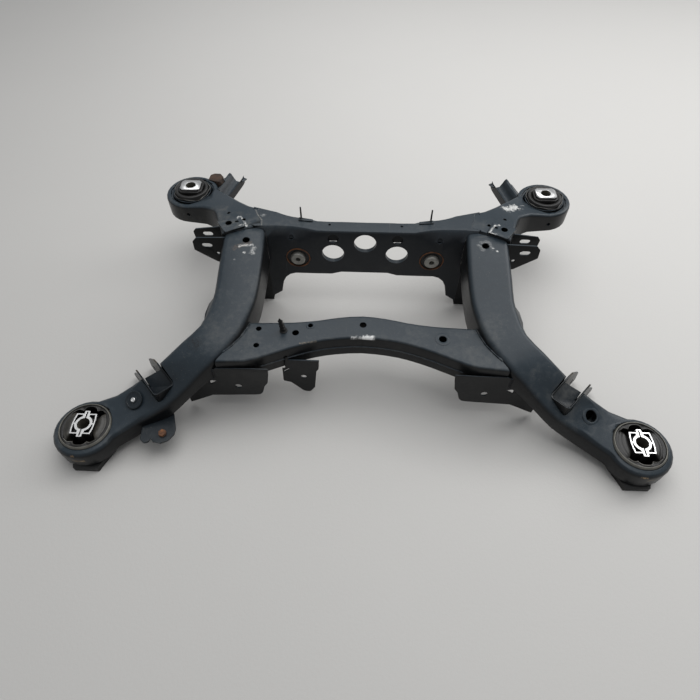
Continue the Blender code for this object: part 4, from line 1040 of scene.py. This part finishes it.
for side in ("left", "right"):
    weldSeam("front_crossmember_upper", side + "_side_member", 0.0024)
    weldSeam("front_crossmember_lower", side + "_side_member", 0.0022)
    weldSeam(side + "_joint_plate", side + "_rear_arm", 0.0018)
    weldSeam(side + "_far_clevis_plate", side + "_rear_arm")
    weldSeam(side + "_lower_bracket", side + "_side_member")
    weldSeam(side + "_outer_web_doubler", "rear_crossmember", 0.0014)
    weldSeam(side + "_inner_web_doubler", "rear_crossmember", 0.0014)
    weldSeam(side + "_rear_saddle_bracket", side + "_rear_arm")
    weldSeam(side + "_outer_tab", side + "_side_member")
print("welds ready")


# Lap edge: a thin raised line where the front crossmember's upper shell laps over its lower tray

shellEdge = {"thick": 0.0018, "half": 0.2040, "over": 0.0016, "steps": 48, "uneven": 0.18, "wave": 1.7,
             "hands": {"near": (-0.60, 1), "far": (0.05, -1)}}
# the ridge's coat is painted much lighter on its walls and tops, a painted highlight along the lap edge
shellFinish = coatFinish("coatShellEdge", (), 1.6, 2.2, wallLightScale=8.0)


def shellRidge(name, start, toward):
    surface = surfaceOf("front_crossmember_upper")
    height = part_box("front_crossmember_upper")[0].z + shellEdge["over"]
    path = []
    for number in range(2 * shellEdge["steps"] + 1):
        x = shellEdge["half"] * (number / shellEdge["steps"] - 1)
        hit = surface.ray_cast(Vector((x, start, height)), Vector((0, toward, 0)))[0]
        if hit:
            path.append(hit)
    radii = [1 + shellEdge["uneven"] * math.sin(number * shellEdge["wave"]) for number in range(len(path))]
    settle(tube(name, path, radii, shellEdge["thick"]), shellFinish, angle=60)


for hand, (start, toward) in shellEdge["hands"].items():
    shellRidge("cross_shell_edge_" + hand, start, toward)
print("lap edge ready")


# Floor and light

room = {"floor": (0.575, 0.565, 0.545), "shade": 0.84, "shadeAt": (-1.2, 1.3), "under": 0.0005,
        "cloud": (1.6, 4.0, 0.6), "grain": (160.0, 4.0, 0.7), "depth": 0.0003,
        "world": 0.40, "sky": (0.95, 0.97, 1.0, 1), "size": 14.0,
        "lamps": [("overhead", (0.25, 0.75, 2.6), (0.0, 0.05, 0.0), 3.0, 66.0),
                  ("window", (2.6, 1.5, 1.9), (0.1, 0.0, 0.0), 1.6, 30.0)]}


def floorFinish():
    sheet = Sheet("floorPale")
    cloud, grain = sheet.noise(*room["cloud"]), sheet.noise(*room["grain"])
    x, y = sheet.split(sheet.place())[:2]
    shade = sheet.smooth(x + y * 0.6, *room["shadeAt"])
    low = tuple(value * room["shade"] for value in room["floor"])
    colour = sheet.mix((shade + (cloud - 0.5) * 0.3 + (grain - 0.5) * 0.1).clipped(), low, room["floor"])
    return sheet.finish((grain, room["depth"], None), Base_Color=colour, Roughness=0.85)


floor = fresh("floor", bpy.ops.mesh.primitive_plane_add, size=room["size"], location=(0, 0, -room["under"]))
floor.data.materials.append(floorFinish())
for name, place, aim, size, energy in room["lamps"]:
    lamp = fresh(name, bpy.ops.object.light_add, type="AREA", location=place)
    lamp.data.size = size
    lamp.data.energy = energy
    lamp.rotation_euler = (Vector(aim) - Vector(place)).to_track_quat("-Z", "Y").to_euler()
world = bpy.data.worlds.new("room")
bpy.context.scene.world = world
world.use_nodes = True
world.node_tree.nodes["Background"].inputs["Color"].default_value = room["sky"]
world.node_tree.nodes["Background"].inputs["Strength"].default_value = room["world"]
bpy.context.scene.view_settings.view_transform = "Standard"
print("floor and light ready")
